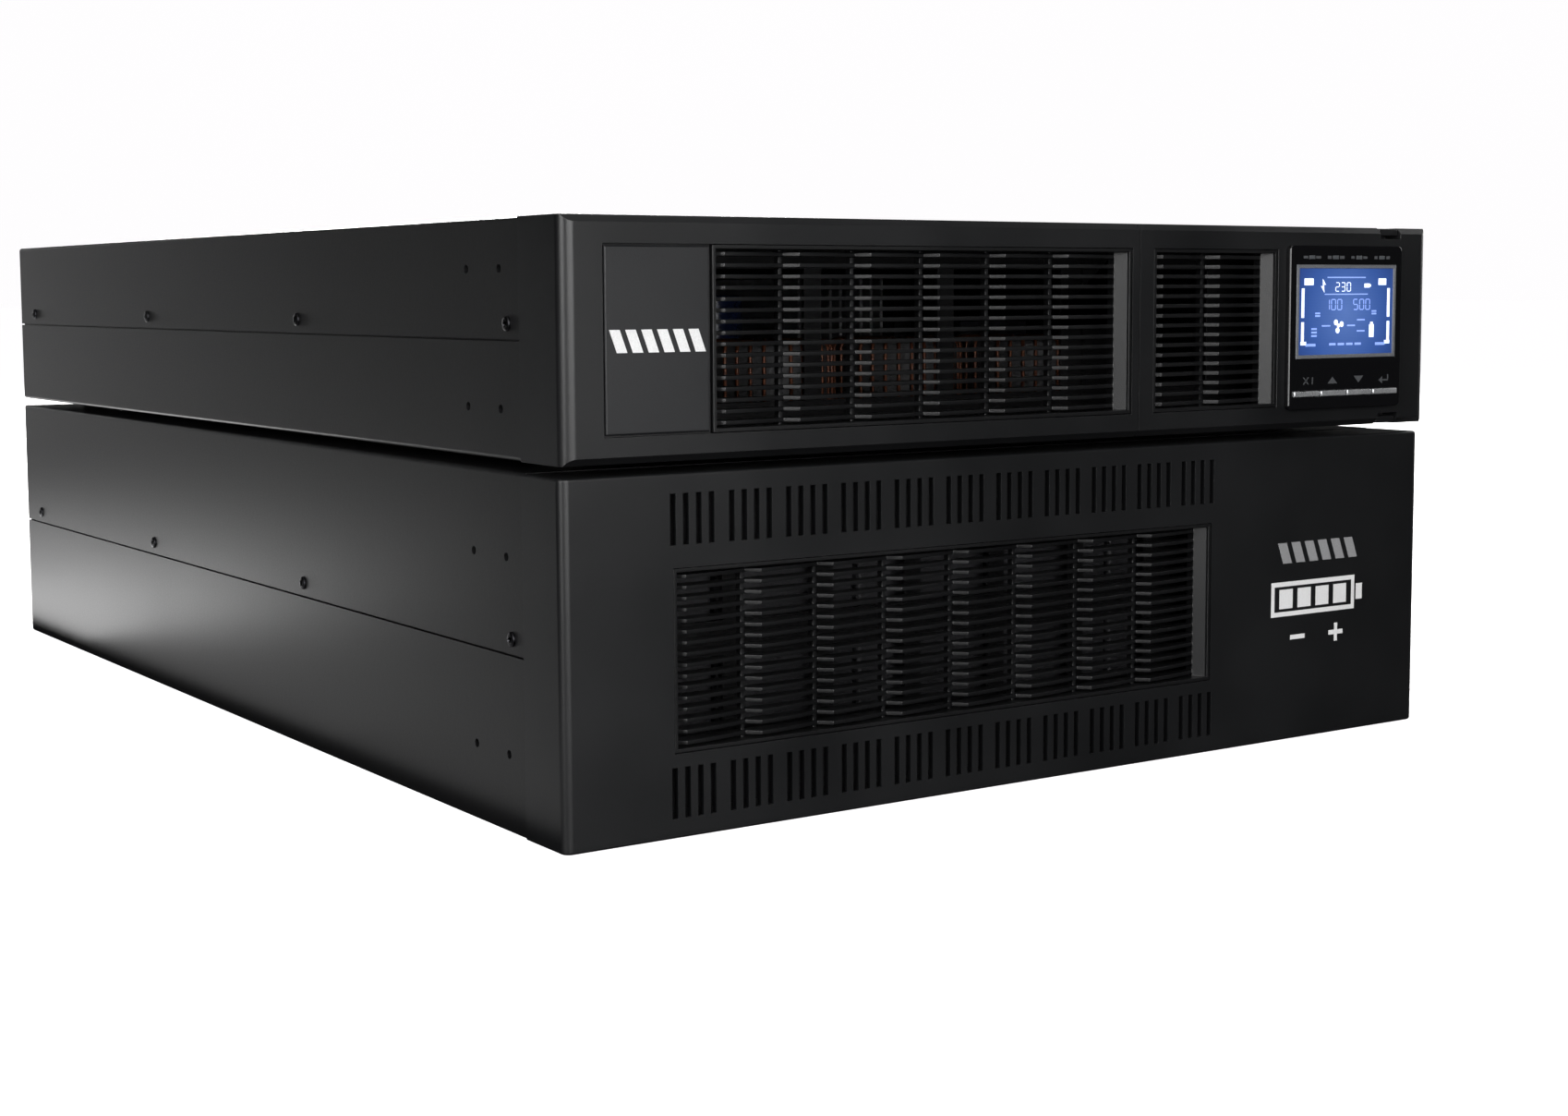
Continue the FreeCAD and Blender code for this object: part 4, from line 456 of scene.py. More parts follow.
RUBBER = rubber()
BOARD_GREEN = circuit_board()
WINDING = wound_wire()
SLEEVE = shrink_sleeve()
FERRITE = moulded_plastic("ferrite_core", (0.030, 0.030, 0.032), (0.060, 0.060, 0.062), (0.50, 0.65),
                          900.0, 0.00008)
CABLE_RUBBER = moulded_plastic("cable_sheath_black", (0.010, 0.010, 0.011), (0.020, 0.020, 0.021),
                               (0.45, 0.58))
LAMP_LENS = moulded_plastic("lamp_window", (0.050, 0.054, 0.058), (0.085, 0.090, 0.096), (0.14, 0.20))
INK_GRAIN = (2600.0, 0.000008)
PRINT_WHITE = moulded_plastic("printed_white", (0.60, 0.60, 0.60), (0.78, 0.78, 0.78),
                              (0.46, 0.56), *INK_GRAIN)
PRINT_GREY = moulded_plastic("printed_grey", (0.20, 0.20, 0.205), (0.29, 0.29, 0.295),
                             (0.46, 0.56), *INK_GRAIN)
PRINT_DIM = moulded_plastic("printed_dim", (0.045, 0.047, 0.050), (0.072, 0.075, 0.080),
                            (0.40, 0.50), *INK_GRAIN)
print("all finishes:", len(bpy.data.materials))

# %% [markdown]
# ## Rounding the edges of moulded and folded parts
#
# Real edges are never razor sharp: a moulding has a radius of a few tenths of a millimetre, and a
# sheet edge is deburred. Those tiny rounds catch light as thin bright lines, and without them black
# parts vanish into each other. A copy of each design mesh gets its loose triangles merged, its flat
# faces joined, and a small bevel on its sharp edges. The design mesh itself stays untouched.

# %% Edge rounding
EDGE_ANGLE = math.radians(32)


def material_slot_of(node):
    """The record's slot name for a design node."""
    for part in frame["record"]["subparts"]:
        if part["node"] == node:
            return part["material_slot"]
    return None


def merged_mesh(node, name):
    """A copy of a node's mesh with its triangles joined into whole faces."""
    mesh = frame["nodes"][node].data.copy()
    mesh.name = name
    shape = bmesh.new()
    shape.from_mesh(mesh)
    bmesh.ops.remove_doubles(shape, verts=shape.verts, dist=0.000002)
    bmesh.ops.dissolve_limit(shape, angle_limit=math.radians(1.0), verts=shape.verts, edges=shape.edges)
    shape.to_mesh(mesh)
    shape.free()
    mesh.materials.clear()
    return mesh


def add_object(name, mesh):
    item = bpy.data.objects.new(name, mesh)
    bpy.context.scene.collection.objects.link(item)
    return item


def settle(item):
    """Turns an object with modifiers into a plain mesh object of the same name."""
    graph = bpy.context.evaluated_depsgraph_get()
    mesh = bpy.data.meshes.new_from_object(item.evaluated_get(graph))
    item.modifiers.clear()
    item.data = mesh
    return item


def attach(item, body, slot):
    """Rides the piece on its body. The slot argument is not used."""
    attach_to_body(item, body)
    return item


def rounded_part(node, finish, radius, segments=2):
    """Stands a bevelled copy in the place of a design node."""
    item = add_object(node + "_rounded", merged_mesh(node, node + "_rounded"))
    item.data.materials.append(finish)
    item.data.shade_smooth()
    bevel = item.modifiers.new("edge", "BEVEL")
    bevel.width = radius
    bevel.segments = segments
    bevel.limit_method = "ANGLE"
    bevel.angle_limit = EDGE_ANGLE
    bevel.use_clamp_overlap = True
    weigh = item.modifiers.new("flat_faces", "WEIGHTED_NORMAL")
    weigh.mode = "FACE_AREA"
    weigh.weight = 100
    weigh.keep_sharp = True
    settle(item)
    attach(item, body_of[node], material_slot_of(node))
    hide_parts(node)
    return item


body_of = {node: body for body, nodes in frame["record"]["behaviour"]["bodies"].items() for node in nodes}
ROUNDED = {
    "left_front_cover": (FRONT_PLASTIC, 0.5), "right_front_cover": (FRONT_PLASTIC, 0.5),
    "pack_front_cover": (FRONT_PLASTIC, 0.35), "badge_plate": (BADGE_PLASTIC, 0.18),
    "left_wave_grille": (GRILLE_PLASTIC, 0.22), "right_wave_grille": (GRILLE_PLASTIC, 0.22),
    "pack_wave_grille": (GRILLE_PLASTIC, 0.22),
    "display_housing": (GLOSS_BLACK, 0.25), "display_frame": (SCREEN_TRIM, 0.1),
    "lock_tab_upper": (FRONT_PLASTIC, 0.5), "lock_tab_lower": (FRONT_PLASTIC, 0.5),
    "key_escape": (SILVER_PAINT, 0.25), "key_up": (SILVER_PAINT, 0.25),
    "key_down": (SILVER_PAINT, 0.25), "key_enter": (SILVER_PAINT, 0.25),
    "ups_top_cover": (POWDER, 0.3), "ups_tray": (POWDER, 0.3),
    "pack_top_cover": (POWDER, 0.3), "pack_tray": (POWDER, 0.3),
    "ups_rear_panel": (POWDER, 0.25), "pack_rear_panel": (POWDER, 0.25),
    "terminal_cover": (POWDER, 0.4), "slot_cover": (POWDER, 0.25),
    "input_breaker": (BREAKER_PLASTIC, 0.5), "pack_breaker": (BREAKER_PLASTIC, 0.5),
    "input_breaker_lever": (LEVER_PLASTIC, 0.5), "pack_breaker_lever": (LEVER_PLASTIC, 0.5),
    "ups_battery_connector": (SOCKET_PLASTIC, 0.5), "pack_connectors": (SOCKET_PLASTIC, 0.5),
    "terminal_block": (TERMINAL_PLASTIC, 0.3), "power_off_port": (HEADER_PLASTIC, 0.15),
    "serial_port": (NICKEL, 0.12), "usb_port": (NICKEL, 0.12), "ground_stud": (ZINC, 0.2),
    "fan_frame_left": (FAN_PLASTIC, 0.4), "fan_frame_right": (FAN_PLASTIC, 0.4),
    "ups_front_plate": (POWDER, 0.25), "status_lamps": (LAMP_LENS, 0.1),
    "display_screen": (SCREEN_BLUE, 0.05),
}
total = 0
for node, (finish, radius) in ROUNDED.items():
    part = rounded_part(node, finish, radius * MM)
    count = sum(len(p.vertices) - 2 for p in part.data.polygons)
    total += count
    print(f"{node:24s} {count:7d} triangles")
print("rounded parts:", total, "triangles")

# %% [markdown]
# ## Finishes for the parts that keep their design mesh
#
# Parts deep inside need no rounding. They keep their own mesh and only get a finish.

# %% Plain nodes
KEPT = {
    "ups_feet": RUBBER, "display_board": BOARD_GREEN,
    "battery_row_1": BATTERY_PLASTIC, "battery_row_2": BATTERY_PLASTIC, "battery_row_3": BATTERY_PLASTIC,
    "battery_terminals": TINNED, "battery_links": COPPER, "battery_hold_downs": ZINC,
    "pack_cables": CABLE_RUBBER, "power_board": BOARD_GREEN, "control_board": BOARD_GREEN,
    "heatsinks": ALUMINIUM, "bus_capacitors": SLEEVE, "filter_inductors": FERRITE,
    "board_modules": MODULE_PLASTIC,
}
for node, finish in KEPT.items():
    mesh = frame["nodes"][node].data
    mesh.materials.clear()
    mesh.materials.append(finish)
print("finished in place:", len(KEPT), "nodes")

# %% [markdown]
# ## One node tree that repeats a part
#
# Screws, fan blades, coil turns, lit segments and small board components all follow one idea: make
# the part once, mark places with points, and let Geometry Nodes put a copy at each point. Every point
# carries the direction the copy faces, its spin about that direction and its size. The copies are
# then realised and given their finish, so the result is one plain mesh.

# %% The repeat tree
def named_vector(tree, name, kind="FLOAT_VECTOR"):
    node = add_node(tree, "GeometryNodeInputNamedAttribute", Name=name)
    node.data_type = kind
    return node.outputs["Attribute"]


def build_repeat_tree():
    tree = bpy.data.node_groups.new("repeat_a_part", "GeometryNodeTree")
    tree.is_modifier = True
    for name, kind in (("Places", "Geometry"), ("Part", "Object"), ("Finish", "Material"),
                       ("Size spread", "Float"), ("Seed", "Int")):
        tree.interface.new_socket(name=name, in_out="INPUT", socket_type="NodeSocket" + kind)
    tree.interface.new_socket(name="Result", in_out="OUTPUT", socket_type="NodeSocketGeometry")
    link = tree.links.new
    start = tree.nodes.new("NodeGroupInput")
    part = tree.nodes.new("GeometryNodeObjectInfo")
    link(start.outputs["Part"], part.inputs["Object"])
    align = tree.nodes.new("FunctionNodeAlignRotationToVector")
    align.axis = "Z"
    link(named_vector(tree, "facing"), align.inputs["Vector"])
    spin = add_node(tree, "FunctionNodeAxisAngleToRotation", Axis=(0.0, 0.0, 1.0))
    link(named_vector(tree, "spin", "FLOAT"), spin.inputs["Angle"])
    turn = tree.nodes.new("FunctionNodeRotateRotation")
    turn.rotation_space = "LOCAL"
    link(align.outputs["Rotation"], turn.inputs["Rotation"])
    link(spin.outputs["Rotation"], turn.inputs["Rotate By"])
    spread = tree.nodes.new("FunctionNodeRandomValue")
    spread.data_type = "FLOAT"
    low = tree.nodes.new("ShaderNodeMath")
    low.operation = "SUBTRACT"
    low.inputs[0].default_value = 1.0
    link(start.outputs["Size spread"], low.inputs[1])
    minimum = next(s for s in spread.inputs if s.name == "Min" and s.type == "VALUE")
    maximum = next(s for s in spread.inputs if s.name == "Max" and s.type == "VALUE")
    link(low.outputs[0], minimum)
    maximum.default_value = 1.0
    link(start.outputs["Seed"], spread.inputs["Seed"])
    size = tree.nodes.new("ShaderNodeVectorMath")
    size.operation = "SCALE"
    link(named_vector(tree, "size"), size.inputs["Vector"])
    link(next(o for o in spread.outputs if o.type == "VALUE"), size.inputs["Scale"])
    place = tree.nodes.new("GeometryNodeInstanceOnPoints")
    link(start.outputs["Places"], place.inputs["Points"])
    link(part.outputs["Geometry"], place.inputs["Instance"])
    link(turn.outputs["Rotation"], place.inputs["Rotation"])
    link(size.outputs["Vector"], place.inputs["Scale"])
    real = tree.nodes.new("GeometryNodeRealizeInstances")
    link(place.outputs["Instances"], real.inputs["Geometry"])
    finish = tree.nodes.new("GeometryNodeSetMaterial")
    link(real.outputs["Geometry"], finish.inputs["Geometry"])
    link(start.outputs["Finish"], finish.inputs["Material"])
    end = tree.nodes.new("NodeGroupOutput")
    link(finish.outputs["Geometry"], end.inputs["Result"])
    return tree


REPEAT = build_repeat_tree()
SOCKET = {item.name: item.identifier for item in REPEAT.interface.items_tree if item.in_out == "INPUT"}


def repeat_part(name, part_mesh, places, finish, seed=1, spread=0.0):
    """A mesh with one copy of part_mesh at each place: (point, facing, spin, size)."""
    marks = bpy.data.meshes.new(name + "_marks")
    marks.from_pydata([p[0] for p in places], [], [])
    for title, kind, column, field in (("facing", "FLOAT_VECTOR", 1, "vector"), ("spin", "FLOAT", 2, "value"),
                                       ("size", "FLOAT_VECTOR", 3, "vector")):
        layer = marks.attributes.new(title, kind, "POINT")
        for mark, entry in zip(layer.data, places):
            setattr(mark, field, entry[column])
    source = bpy.data.objects.new(name + "_source", part_mesh)
    item = add_object(name, marks)
    steps = item.modifiers.new("repeat", "NODES")
    steps.node_group = REPEAT
    steps[SOCKET["Part"]] = source
    steps[SOCKET["Finish"]] = finish
    steps[SOCKET["Size spread"]] = spread
    steps[SOCKET["Seed"]] = seed
    settle(item)
    mesh = item.data
    for title in ("facing", "spin", "size"):
        if title in mesh.attributes:
            mesh.attributes.remove(mesh.attributes[title])
    bpy.data.objects.remove(item)
    bpy.data.objects.remove(source)
    return mesh


def joined(name, meshes):
    """One object out of several meshes; each keeps its own finish."""
    shape = bmesh.new()
    finishes = []
    for mesh in meshes:
        first = len(shape.faces)
        shape.from_mesh(mesh)
        shape.faces.ensure_lookup_table()
        for finish in mesh.materials:
            if finish not in finishes:
                finishes.append(finish)
        for face in shape.faces[first:]:
            own = min(face.material_index, len(mesh.materials) - 1)
            face.material_index = finishes.index(mesh.materials[own])
    whole = bpy.data.meshes.new(name)
    shape.to_mesh(whole)
    shape.free()
    for finish in finishes:
        whole.materials.append(finish)
    return add_object(name, whole)


def repeat_once(name, part_mesh, point, finish):
    """One copy of a part at a point on the back, facing rearwards."""
    return repeat_part(name, part_mesh, [(point, REARWARD, 0.0, (1, 1, 1))], finish)


REARWARD = Vector((0, 1, 0))
print("repeat tree:", len(REPEAT.nodes), "nodes")

# %% [markdown]
# ## Rows of points, sewn together
#
# Screw heads, wires, hubs and chips are all made in one way: closed rows of points with faces sewn
# between neighbours. A shape built like this needs its ends closed and its faces turned outwards once.

# %% Shape helpers
SQUARE = ((-0.5, -0.5), (0.5, -0.5), (0.5, 0.5), (-0.5, 0.5))


def circle(radius, steps):
    """(x, y) points evenly round a circle."""
    return [(radius * math.cos(math.tau * k / steps), radius * math.sin(math.tau * k / steps))
            for k in range(steps)]


def sew(shape, rows):
    """Faces between each closed row of points and the next."""
    for low, high in zip(rows, rows[1:]):
        for k in range(len(low)):
            after = (k + 1) % len(low)
            shape.faces.new((low[k], low[after], high[after], high[k]))


def cap(shape, rows):
    """Closes the first and the last row."""
    shape.faces.new(list(reversed(rows[0])))
    shape.faces.new(rows[-1])


def outward_mesh(shape, name, smooth=True, sharp=None):
    """Turns the faces outwards and makes the mesh; edges past sharp degrees stay crisp."""
    bmesh.ops.recalc_face_normals(shape, faces=shape.faces)
    mesh = bpy.data.meshes.new(name)
    shape.to_mesh(mesh)
    shape.free()
    if smooth:
        mesh.shade_smooth()
    if sharp:
        mesh.set_sharp_from_angle(angle=math.radians(sharp))
    return mesh


def turned_mesh(name, outline, sides=64):
    """A closed solid of revolution about Z from (radius, z) points."""
    shape = bmesh.new()
    rows = [[shape.verts.new((x, y, z)) for x, y in circle(r, sides)] for r, z in outline]
    sew(shape, rows)
    cap(shape, rows)
    return outward_mesh(shape, name, sharp=38)


print("shape helpers ready")

# %% [markdown]
# ## Pan-head screws with a cross recess
#
# Each screw in the design is a plain pin with a rounded head. The islands of that mesh say where each
# screw sits, which way it points and how long it is. The new head is a low dome with a cross-shaped
# recess; its outline is turned about the axis and four blunt wings are pushed in from the top.

# %% Screws
HEAD_HEIGHT = 1.8 * MM
LOW_HEAD = 1.1 * MM
HEAD_SHARE = 0.86
SHANK_RADIUS = 1.8 * MM


def islands(mesh):
    """Groups of vertex positions that are joined by edges."""
    links = {v.index: [] for v in mesh.vertices}
    for edge in mesh.edges:
        a, b = edge.vertices
        links[a].append(b)
        links[b].append(a)
    left = set(links)
    while left:
        group = []
        stack = [left.pop()]
        while stack:
            here = stack.pop()
            group.append(mesh.vertices[here].co.copy())
            for other in links[here]:
                if other in left:
                    left.remove(other)
                    stack.append(other)
        yield group


def screw_head_mesh(spokes=48, rings=9, wing=0.11, reach=0.56):
    """A dome of radius 1 and height 1 whose top is pressed in along a cross."""
    shape = bmesh.new()
    rows = []
    for ring in range(rings):
        tilt = math.radians(90) * (ring - 1) / (rings - 1)
        radius = 1.0 if ring == 0 else math.cos(tilt) ** 0.55
        row = []
        for x, y in circle(radius, spokes):
            height = 0.0 if ring == 0 else 0.35 + 0.65 * math.sin(tilt) ** 0.9
            narrow, long = sorted((abs(x), abs(y)))
            if ring > 1 and narrow < wing and long < reach:
                height -= 0.62 * (1.0 - long * 0.6)
            row.append(shape.verts.new((x, y, height)))
        rows.append(row)
    sew(shape, rows)
    shape.faces.new(list(reversed(rows[0])))
    bmesh.ops.remove_doubles(shape, verts=shape.verts, dist=0.0005)
    return outward_mesh(shape, "screw_head", sharp=42)


def screw_places(node):
    """Places of the heads and of the pins, read from the screws of one design node."""
    heads = []
    pins = []
    chance = random.Random(7)
    for group in islands(merged_mesh(node, "count")):
        low = Vector([min(v[k] for v in group) for k in range(3)])
        high = Vector([max(v[k] for v in group) for k in range(3)])
        extent = high - low
        axis = max(range(3), key=lambda k: extent[k])
        middle = (low + high) / 2
        across = [k for k in range(3) if k != axis]

        def reach(end):
            first, second = across
            return max(math.hypot(v[first] - middle[first], v[second] - middle[second])
                       for v in group if abs(v[axis] - end) < 1.0 * MM)

        side = 1 if reach(high[axis]) > reach(low[axis]) else -1
        facing = Vector((0, 0, 0))
        facing[axis] = side
        seat = middle.copy()
        seat[axis] = (high if side > 0 else low)[axis] - side * HEAD_HEIGHT
        radius = HEAD_SHARE * max(extent[k] for k in across) / 2
        spin = chance.uniform(0.0, math.tau)
        heads.append((seat, facing, spin, (radius, radius, LOW_HEAD)))
        pins.append((seat, facing, spin, (SHANK_RADIUS, SHANK_RADIUS, extent[axis] - HEAD_HEIGHT)))
    return heads, pins


head_mesh = screw_head_mesh()
shank_mesh = turned_mesh("screw_pin", [(0.6, -1.0), (1.0, -0.88), (1.0, 0.0)], 20)
for node in ("pack_screws", "ups_screws"):
    heads, pins = screw_places(node)
    screws = joined(node + "_crossed", [repeat_part("heads", head_mesh, heads, BLACK_ZINC),
                                        repeat_part("pins", shank_mesh, pins, BLACK_ZINC)])
    attach(screws, body_of[node], "black_screws")
    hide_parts(node)
    print(node, "has", len(heads), "screws")

# %% [markdown]
# ## Fan guards, rotors and coils
#
# A guard is bent from round wire: four rings and two crossed spokes that end in eyes under the fan's
# screws. The rotor's blades are scooped, thinner at the tip, and repeated about the hub. Each coil is
# turns of wire, repeated about a ring core.

# %% Round wire
def wire_mesh(name, path, radius, closed, sides=10):
    """A round wire along a list of points."""
    shape = bmesh.new()
    count = len(path)
    rows = []
    side_hint = None
    for k, point in enumerate(path):
        before = path[(k - 1) % count] if closed or k > 0 else point
        after = path[(k + 1) % count] if closed or k < count - 1 else point
        ahead = (after - before).normalized()
        if side_hint is None:
            side_hint = ahead.orthogonal()
        across = (side_hint - ahead * side_hint.dot(ahead)).normalized()
        side_hint = across
        up = ahead.cross(across)
        rows.append([shape.verts.new(point + across * x + up * y) for x, y in circle(radius, sides)])
    sew(shape, rows + rows[:1] if closed else rows)
    if not closed:
        cap(shape, rows)
    return outward_mesh(shape, name)


def circle_path(radius, steps):
    return [Vector((x, y, 0.0)) for x, y in circle(radius, steps)]


WIRE = 0.86 * MM
RING_START, RING_STEP, RINGS = 12 * MM, 8 * MM, 4
HOLE_INSET = 4.25 * MM
EYE_RADIUS = 3.2 * MM
panel_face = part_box("ups_rear_panel")[1].y
for side in ("left", "right"):
    centre = middle_of(f"fan_guard_{side}")
    frame_low, frame_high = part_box(f"fan_frame_{side}")
    hole = (frame_high.x - frame_low.x) / 2 - HOLE_INSET
    middle = Vector((centre.x, panel_face + WIRE + 0.02 * MM, centre.z))
    pieces = []
    for n in range(RINGS):
        ring = wire_mesh("guard_ring", circle_path(RING_START + n * RING_STEP, 72), WIRE, True)
        pieces.append(repeat_once("ring", ring, middle, PLATED_WIRE))
    reach = hole * math.sqrt(2) - EYE_RADIUS - 0.2 * MM
    spoke = wire_mesh("guard_spoke", [Vector((x, 0, 0)) for x in (-reach, 0, reach)], WIRE, False)
    crossed = [(middle, REARWARD, math.radians(turn), (1, 1, 1)) for turn in (45, 135)]
    pieces.append(repeat_part("spokes", spoke, crossed, PLATED_WIRE))
    eye = wire_mesh("guard_eye", circle_path(EYE_RADIUS, 28), WIRE, True)
    eyes = [(middle + Vector((a * hole, 0, b * hole)), REARWARD, 0.0, (1, 1, 1))
            for a in (-1, 1) for b in (-1, 1)]
    pieces.append(repeat_part("eyes", eye, eyes, PLATED_WIRE))
    guard = joined(f"fan_guard_{side}_wire", pieces)
    attach(guard, "ups", "guard_wire")
    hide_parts(f"fan_guard_{side}")
print("two wire guards")


# %% Fan rotors
def blade_mesh(inner, outer, chord, depth):
    """One scooped blade: it leans more near the hub and thins towards the tip."""
    shape = bmesh.new()
    skins = {}
    spans, steps = 9, 9
    for skin in (-1, 1):
        for i in range(spans):
            t = i / (spans - 1)
            radius = inner + (outer - inner) * t
            lean = math.radians(52 - 22 * t)
            for k in range(steps):
                u = k / (steps - 1) - 0.5
                camber = (0.25 - u * u) * depth * 0.55
                along = u * chord * (0.85 + 0.25 * t)
                thick = (0.75 - 0.35 * t) * MM * (1.0 - (2 * abs(u)) ** 3 * 0.7)
                angle = (along * math.cos(lean)) / radius + t * 0.22
                rise = along * math.sin(lean) + camber + skin * thick
                rise = max(-depth / 2, min(depth / 2, rise))
                x, y = radius * math.cos(angle), radius * math.sin(angle)
                skins[skin, i, k] = shape.verts.new((x, y, rise))
    for skin in (-1, 1):
        for i in range(spans - 1):
            for k in range(steps - 1):
                corners = ((i, k), (i + 1, k), (i + 1, k + 1), (i, k + 1))
                shape.faces.new([skins[skin, a, b] for a, b in corners])
    rim = ([(0, k) for k in range(steps)] + [(i, steps - 1) for i in range(1, spans)]
           + [(spans - 1, k) for k in range(steps - 2, -1, -1)] + [(i, 0) for i in range(spans - 2, 0, -1)])
    for a, b in zip(rim, rim[1:] + rim[:1]):
        shape.faces.new([skins[-1, *a], skins[-1, *b], skins[1, *b], skins[1, *a]])
    return outward_mesh(shape, "blade", sharp=40)


BLADES = 7
BLADE_CHORD, BLADE_DEPTH = 20 * MM, 16.5 * MM
HUB_RADIUS, HALF_HUB = 17 * MM, 9 * MM
SHAFT_RADIUS = 1.4 * MM
HUB_OUTLINE = [(HUB_RADIUS - 0.4 * MM, -HALF_HUB), (HUB_RADIUS, -8.6 * MM), (HUB_RADIUS, 7.2 * MM),
               (HUB_RADIUS - 0.5 * MM, 8.3 * MM), (HUB_RADIUS - 1.7 * MM, 8.9 * MM),
               (9.0 * MM, 8.95 * MM), (8.4 * MM, 8.5 * MM), (2.4 * MM, 8.5 * MM)]
for side in ("left", "right"):
    low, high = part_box(f"fan_rotor_{side}")
    centre = (low + high) / 2
    tip = min(high.x - low.x, high.z - low.z) / 2
    middle = Vector((centre.x, high.y - HALF_HUB, centre.z))
    blade = blade_mesh(HUB_RADIUS * 0.93, tip * 0.992, BLADE_CHORD, BLADE_DEPTH)
    blades = [(middle, REARWARD, math.tau * n / BLADES, (1, 1, 1)) for n in range(BLADES)]
    shaft = turned_mesh("shaft", [(SHAFT_RADIUS, low.y - middle.y), (SHAFT_RADIUS, 1 * MM - HALF_HUB)], 20)
    rotor = joined(f"fan_rotor_{side}_scooped", [
        repeat_part("blades", blade, blades, FAN_PLASTIC),
        repeat_once("hub", turned_mesh("hub", HUB_OUTLINE), middle, FAN_PLASTIC),
        repeat_once("shaft", shaft, middle, FAN_PLASTIC)])
    attach(rotor, f"fan_rotor_{side}", "fan_plastic")
    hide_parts(f"fan_rotor_{side}")
    print("rotor tip radius", round(tip / MM, 2), "mm")

# %% Coils
COILS, TURNS = 4, 30
INDUCTOR_GAP = 12 * MM
WINDING_RADIUS = 0.85 * MM
INDUCTOR_RADIUS, INDUCTOR_HOLE, INDUCTOR_HEIGHT = 30 * MM, 13 * MM, 28 * MM
turn_low, turn_high = INDUCTOR_HOLE - 1.6 * MM, INDUCTOR_RADIUS + 0.2 * MM


def coil_turn():
    """One turn round the ring's section: a rounded loop in the X-Z plane."""
    half = INDUCTOR_HEIGHT / 2 + 0.2 * MM
    corner = 4.0 * MM
    path = []
    right, left, top = turn_high - corner, turn_low + corner, half - corner
    for cx, cz, first in ((right, top, 0), (left, top, 90), (left, -top, 180), (right, -top, 270)):
        for k in range(5):
            a = math.radians(first + 90 * k / 4)
            path.append(Vector((cx + corner * math.cos(a), 0.0, cz + corner * math.sin(a))))
    return wire_mesh("coil_turn", path, WINDING_RADIUS, True, 8)


coil_places = []
coils_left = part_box("filter_inductors")[0].x
for n in range(COILS):
    centre = middle_of("filter_inductors")
    centre.x = coils_left + INDUCTOR_RADIUS + n * (2 * INDUCTOR_RADIUS + INDUCTOR_GAP)
    for k in range(TURNS):
        coil_places.append((centre, (0, 0, 1), math.tau * (0.03 + 0.94 * k / TURNS), (1, 1, 1)))
coils = joined("inductor_windings", [repeat_part("turns", coil_turn(), coil_places, WINDING)])
attach(coils, "ups", "winding")
print("coils:", len(coil_places), "turns")

# %% [markdown]
# ## Components on the circuit boards
#
# Small chips and resistors are scattered on the boards with a fixed seed, so the layout never changes
# from one run to the next. They stay off the ground that the large parts stand on.

# %% Small components
def chip_mesh():
    """A small block with a slightly smaller top, one unit each way."""
    shape = bmesh.new()
    rows = [[shape.verts.new((x * share, y * share, z)) for x, y in SQUARE]
            for share, z in ((1.0, 0.0), (0.98, 0.6), (0.86, 1.0))]
    sew(shape, rows)
    cap(shape, rows)
    return outward_mesh(shape, "chip", smooth=False)


EDGE_ROOM, PART_ROOM = 5 * MM, 3 * MM
CHIP_SIZES = ((3.2, 1.6, 0.9), (5.0, 4.0, 1.5), (9.0, 6.0, 2.0), (6.5, 3.5, 2.4))


def scatter(low, high, level, count, keep_out, seed):
    """Places for small components on a level board, outside the keep-out rectangles."""
    chance = random.Random(seed)
    places = []
    while len(places) < count:
        x = chance.uniform(low.x + EDGE_ROOM, high.x - EDGE_ROOM)
        y = chance.uniform(low.y + EDGE_ROOM, high.y - EDGE_ROOM)
        if any(left - PART_ROOM < x < right + PART_ROOM and front - PART_ROOM < y < back + PART_ROOM
               for left, right, front, back in keep_out):
            continue
        length, width, tall = chance.choice(CHIP_SIZES)
        places.append(((x, y, level), (0, 0, 1), chance.choice((0.0, math.pi / 2)),
                       (length * MM, width * MM, tall * MM)))
    return places


def footprint(node):
    low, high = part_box(node)
    return (low.x, high.x, low.y, high.y)


MODULE_WIDTH = 44 * MM
POWER_SEED, PORT_SEED = 11, 5
CHIP_SPREAD = 0.2
board_low, board_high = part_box("power_board")
taken = [footprint(node) for node in ("filter_inductors", "bus_capacitors", "heatsinks")]
modules_low, modules_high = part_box("board_modules")
taken += [(modules_low.x, modules_low.x + MODULE_WIDTH, modules_low.y, modules_high.y),
          (modules_high.x - MODULE_WIDTH, modules_high.x, modules_low.y, modules_high.y)]
chip_places = scatter(board_low, board_high, board_high.z, 150, taken, POWER_SEED)
chips = repeat_part("chips", chip_mesh(), chip_places, MODULE_PLASTIC, POWER_SEED, CHIP_SPREAD)
ports_low, ports_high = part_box("control_board")
processor = (ports_low.x + 20 * MM, ports_low.x + 48 * MM, ports_low.y + 12 * MM, ports_low.y + 40 * MM)
port_strip = (ports_low.x, ports_high.x, ports_high.y - 18 * MM, ports_high.y)
port_places = scatter(ports_low, ports_high, ports_high.z - 2.5 * MM, 26, [processor, port_strip], PORT_SEED)
small = repeat_part("small", chip_mesh(), port_places, MODULE_PLASTIC, PORT_SEED, CHIP_SPREAD)
attach(joined("board_components", [chips, small]), "ups", "module_plastic")
print("components on the power board and the port board")

# %% [markdown]
# ## The lit screen's pictograms
#
# A liquid crystal shows fixed shapes: bars, corner squares, seven-bar digits and small icons. Each is
# a thin plate just in front of the glass. Bars are repeated by the tree; other shapes are outlines
# given a small thickness. Positions are shares of the screen, from its left edge and from its top.

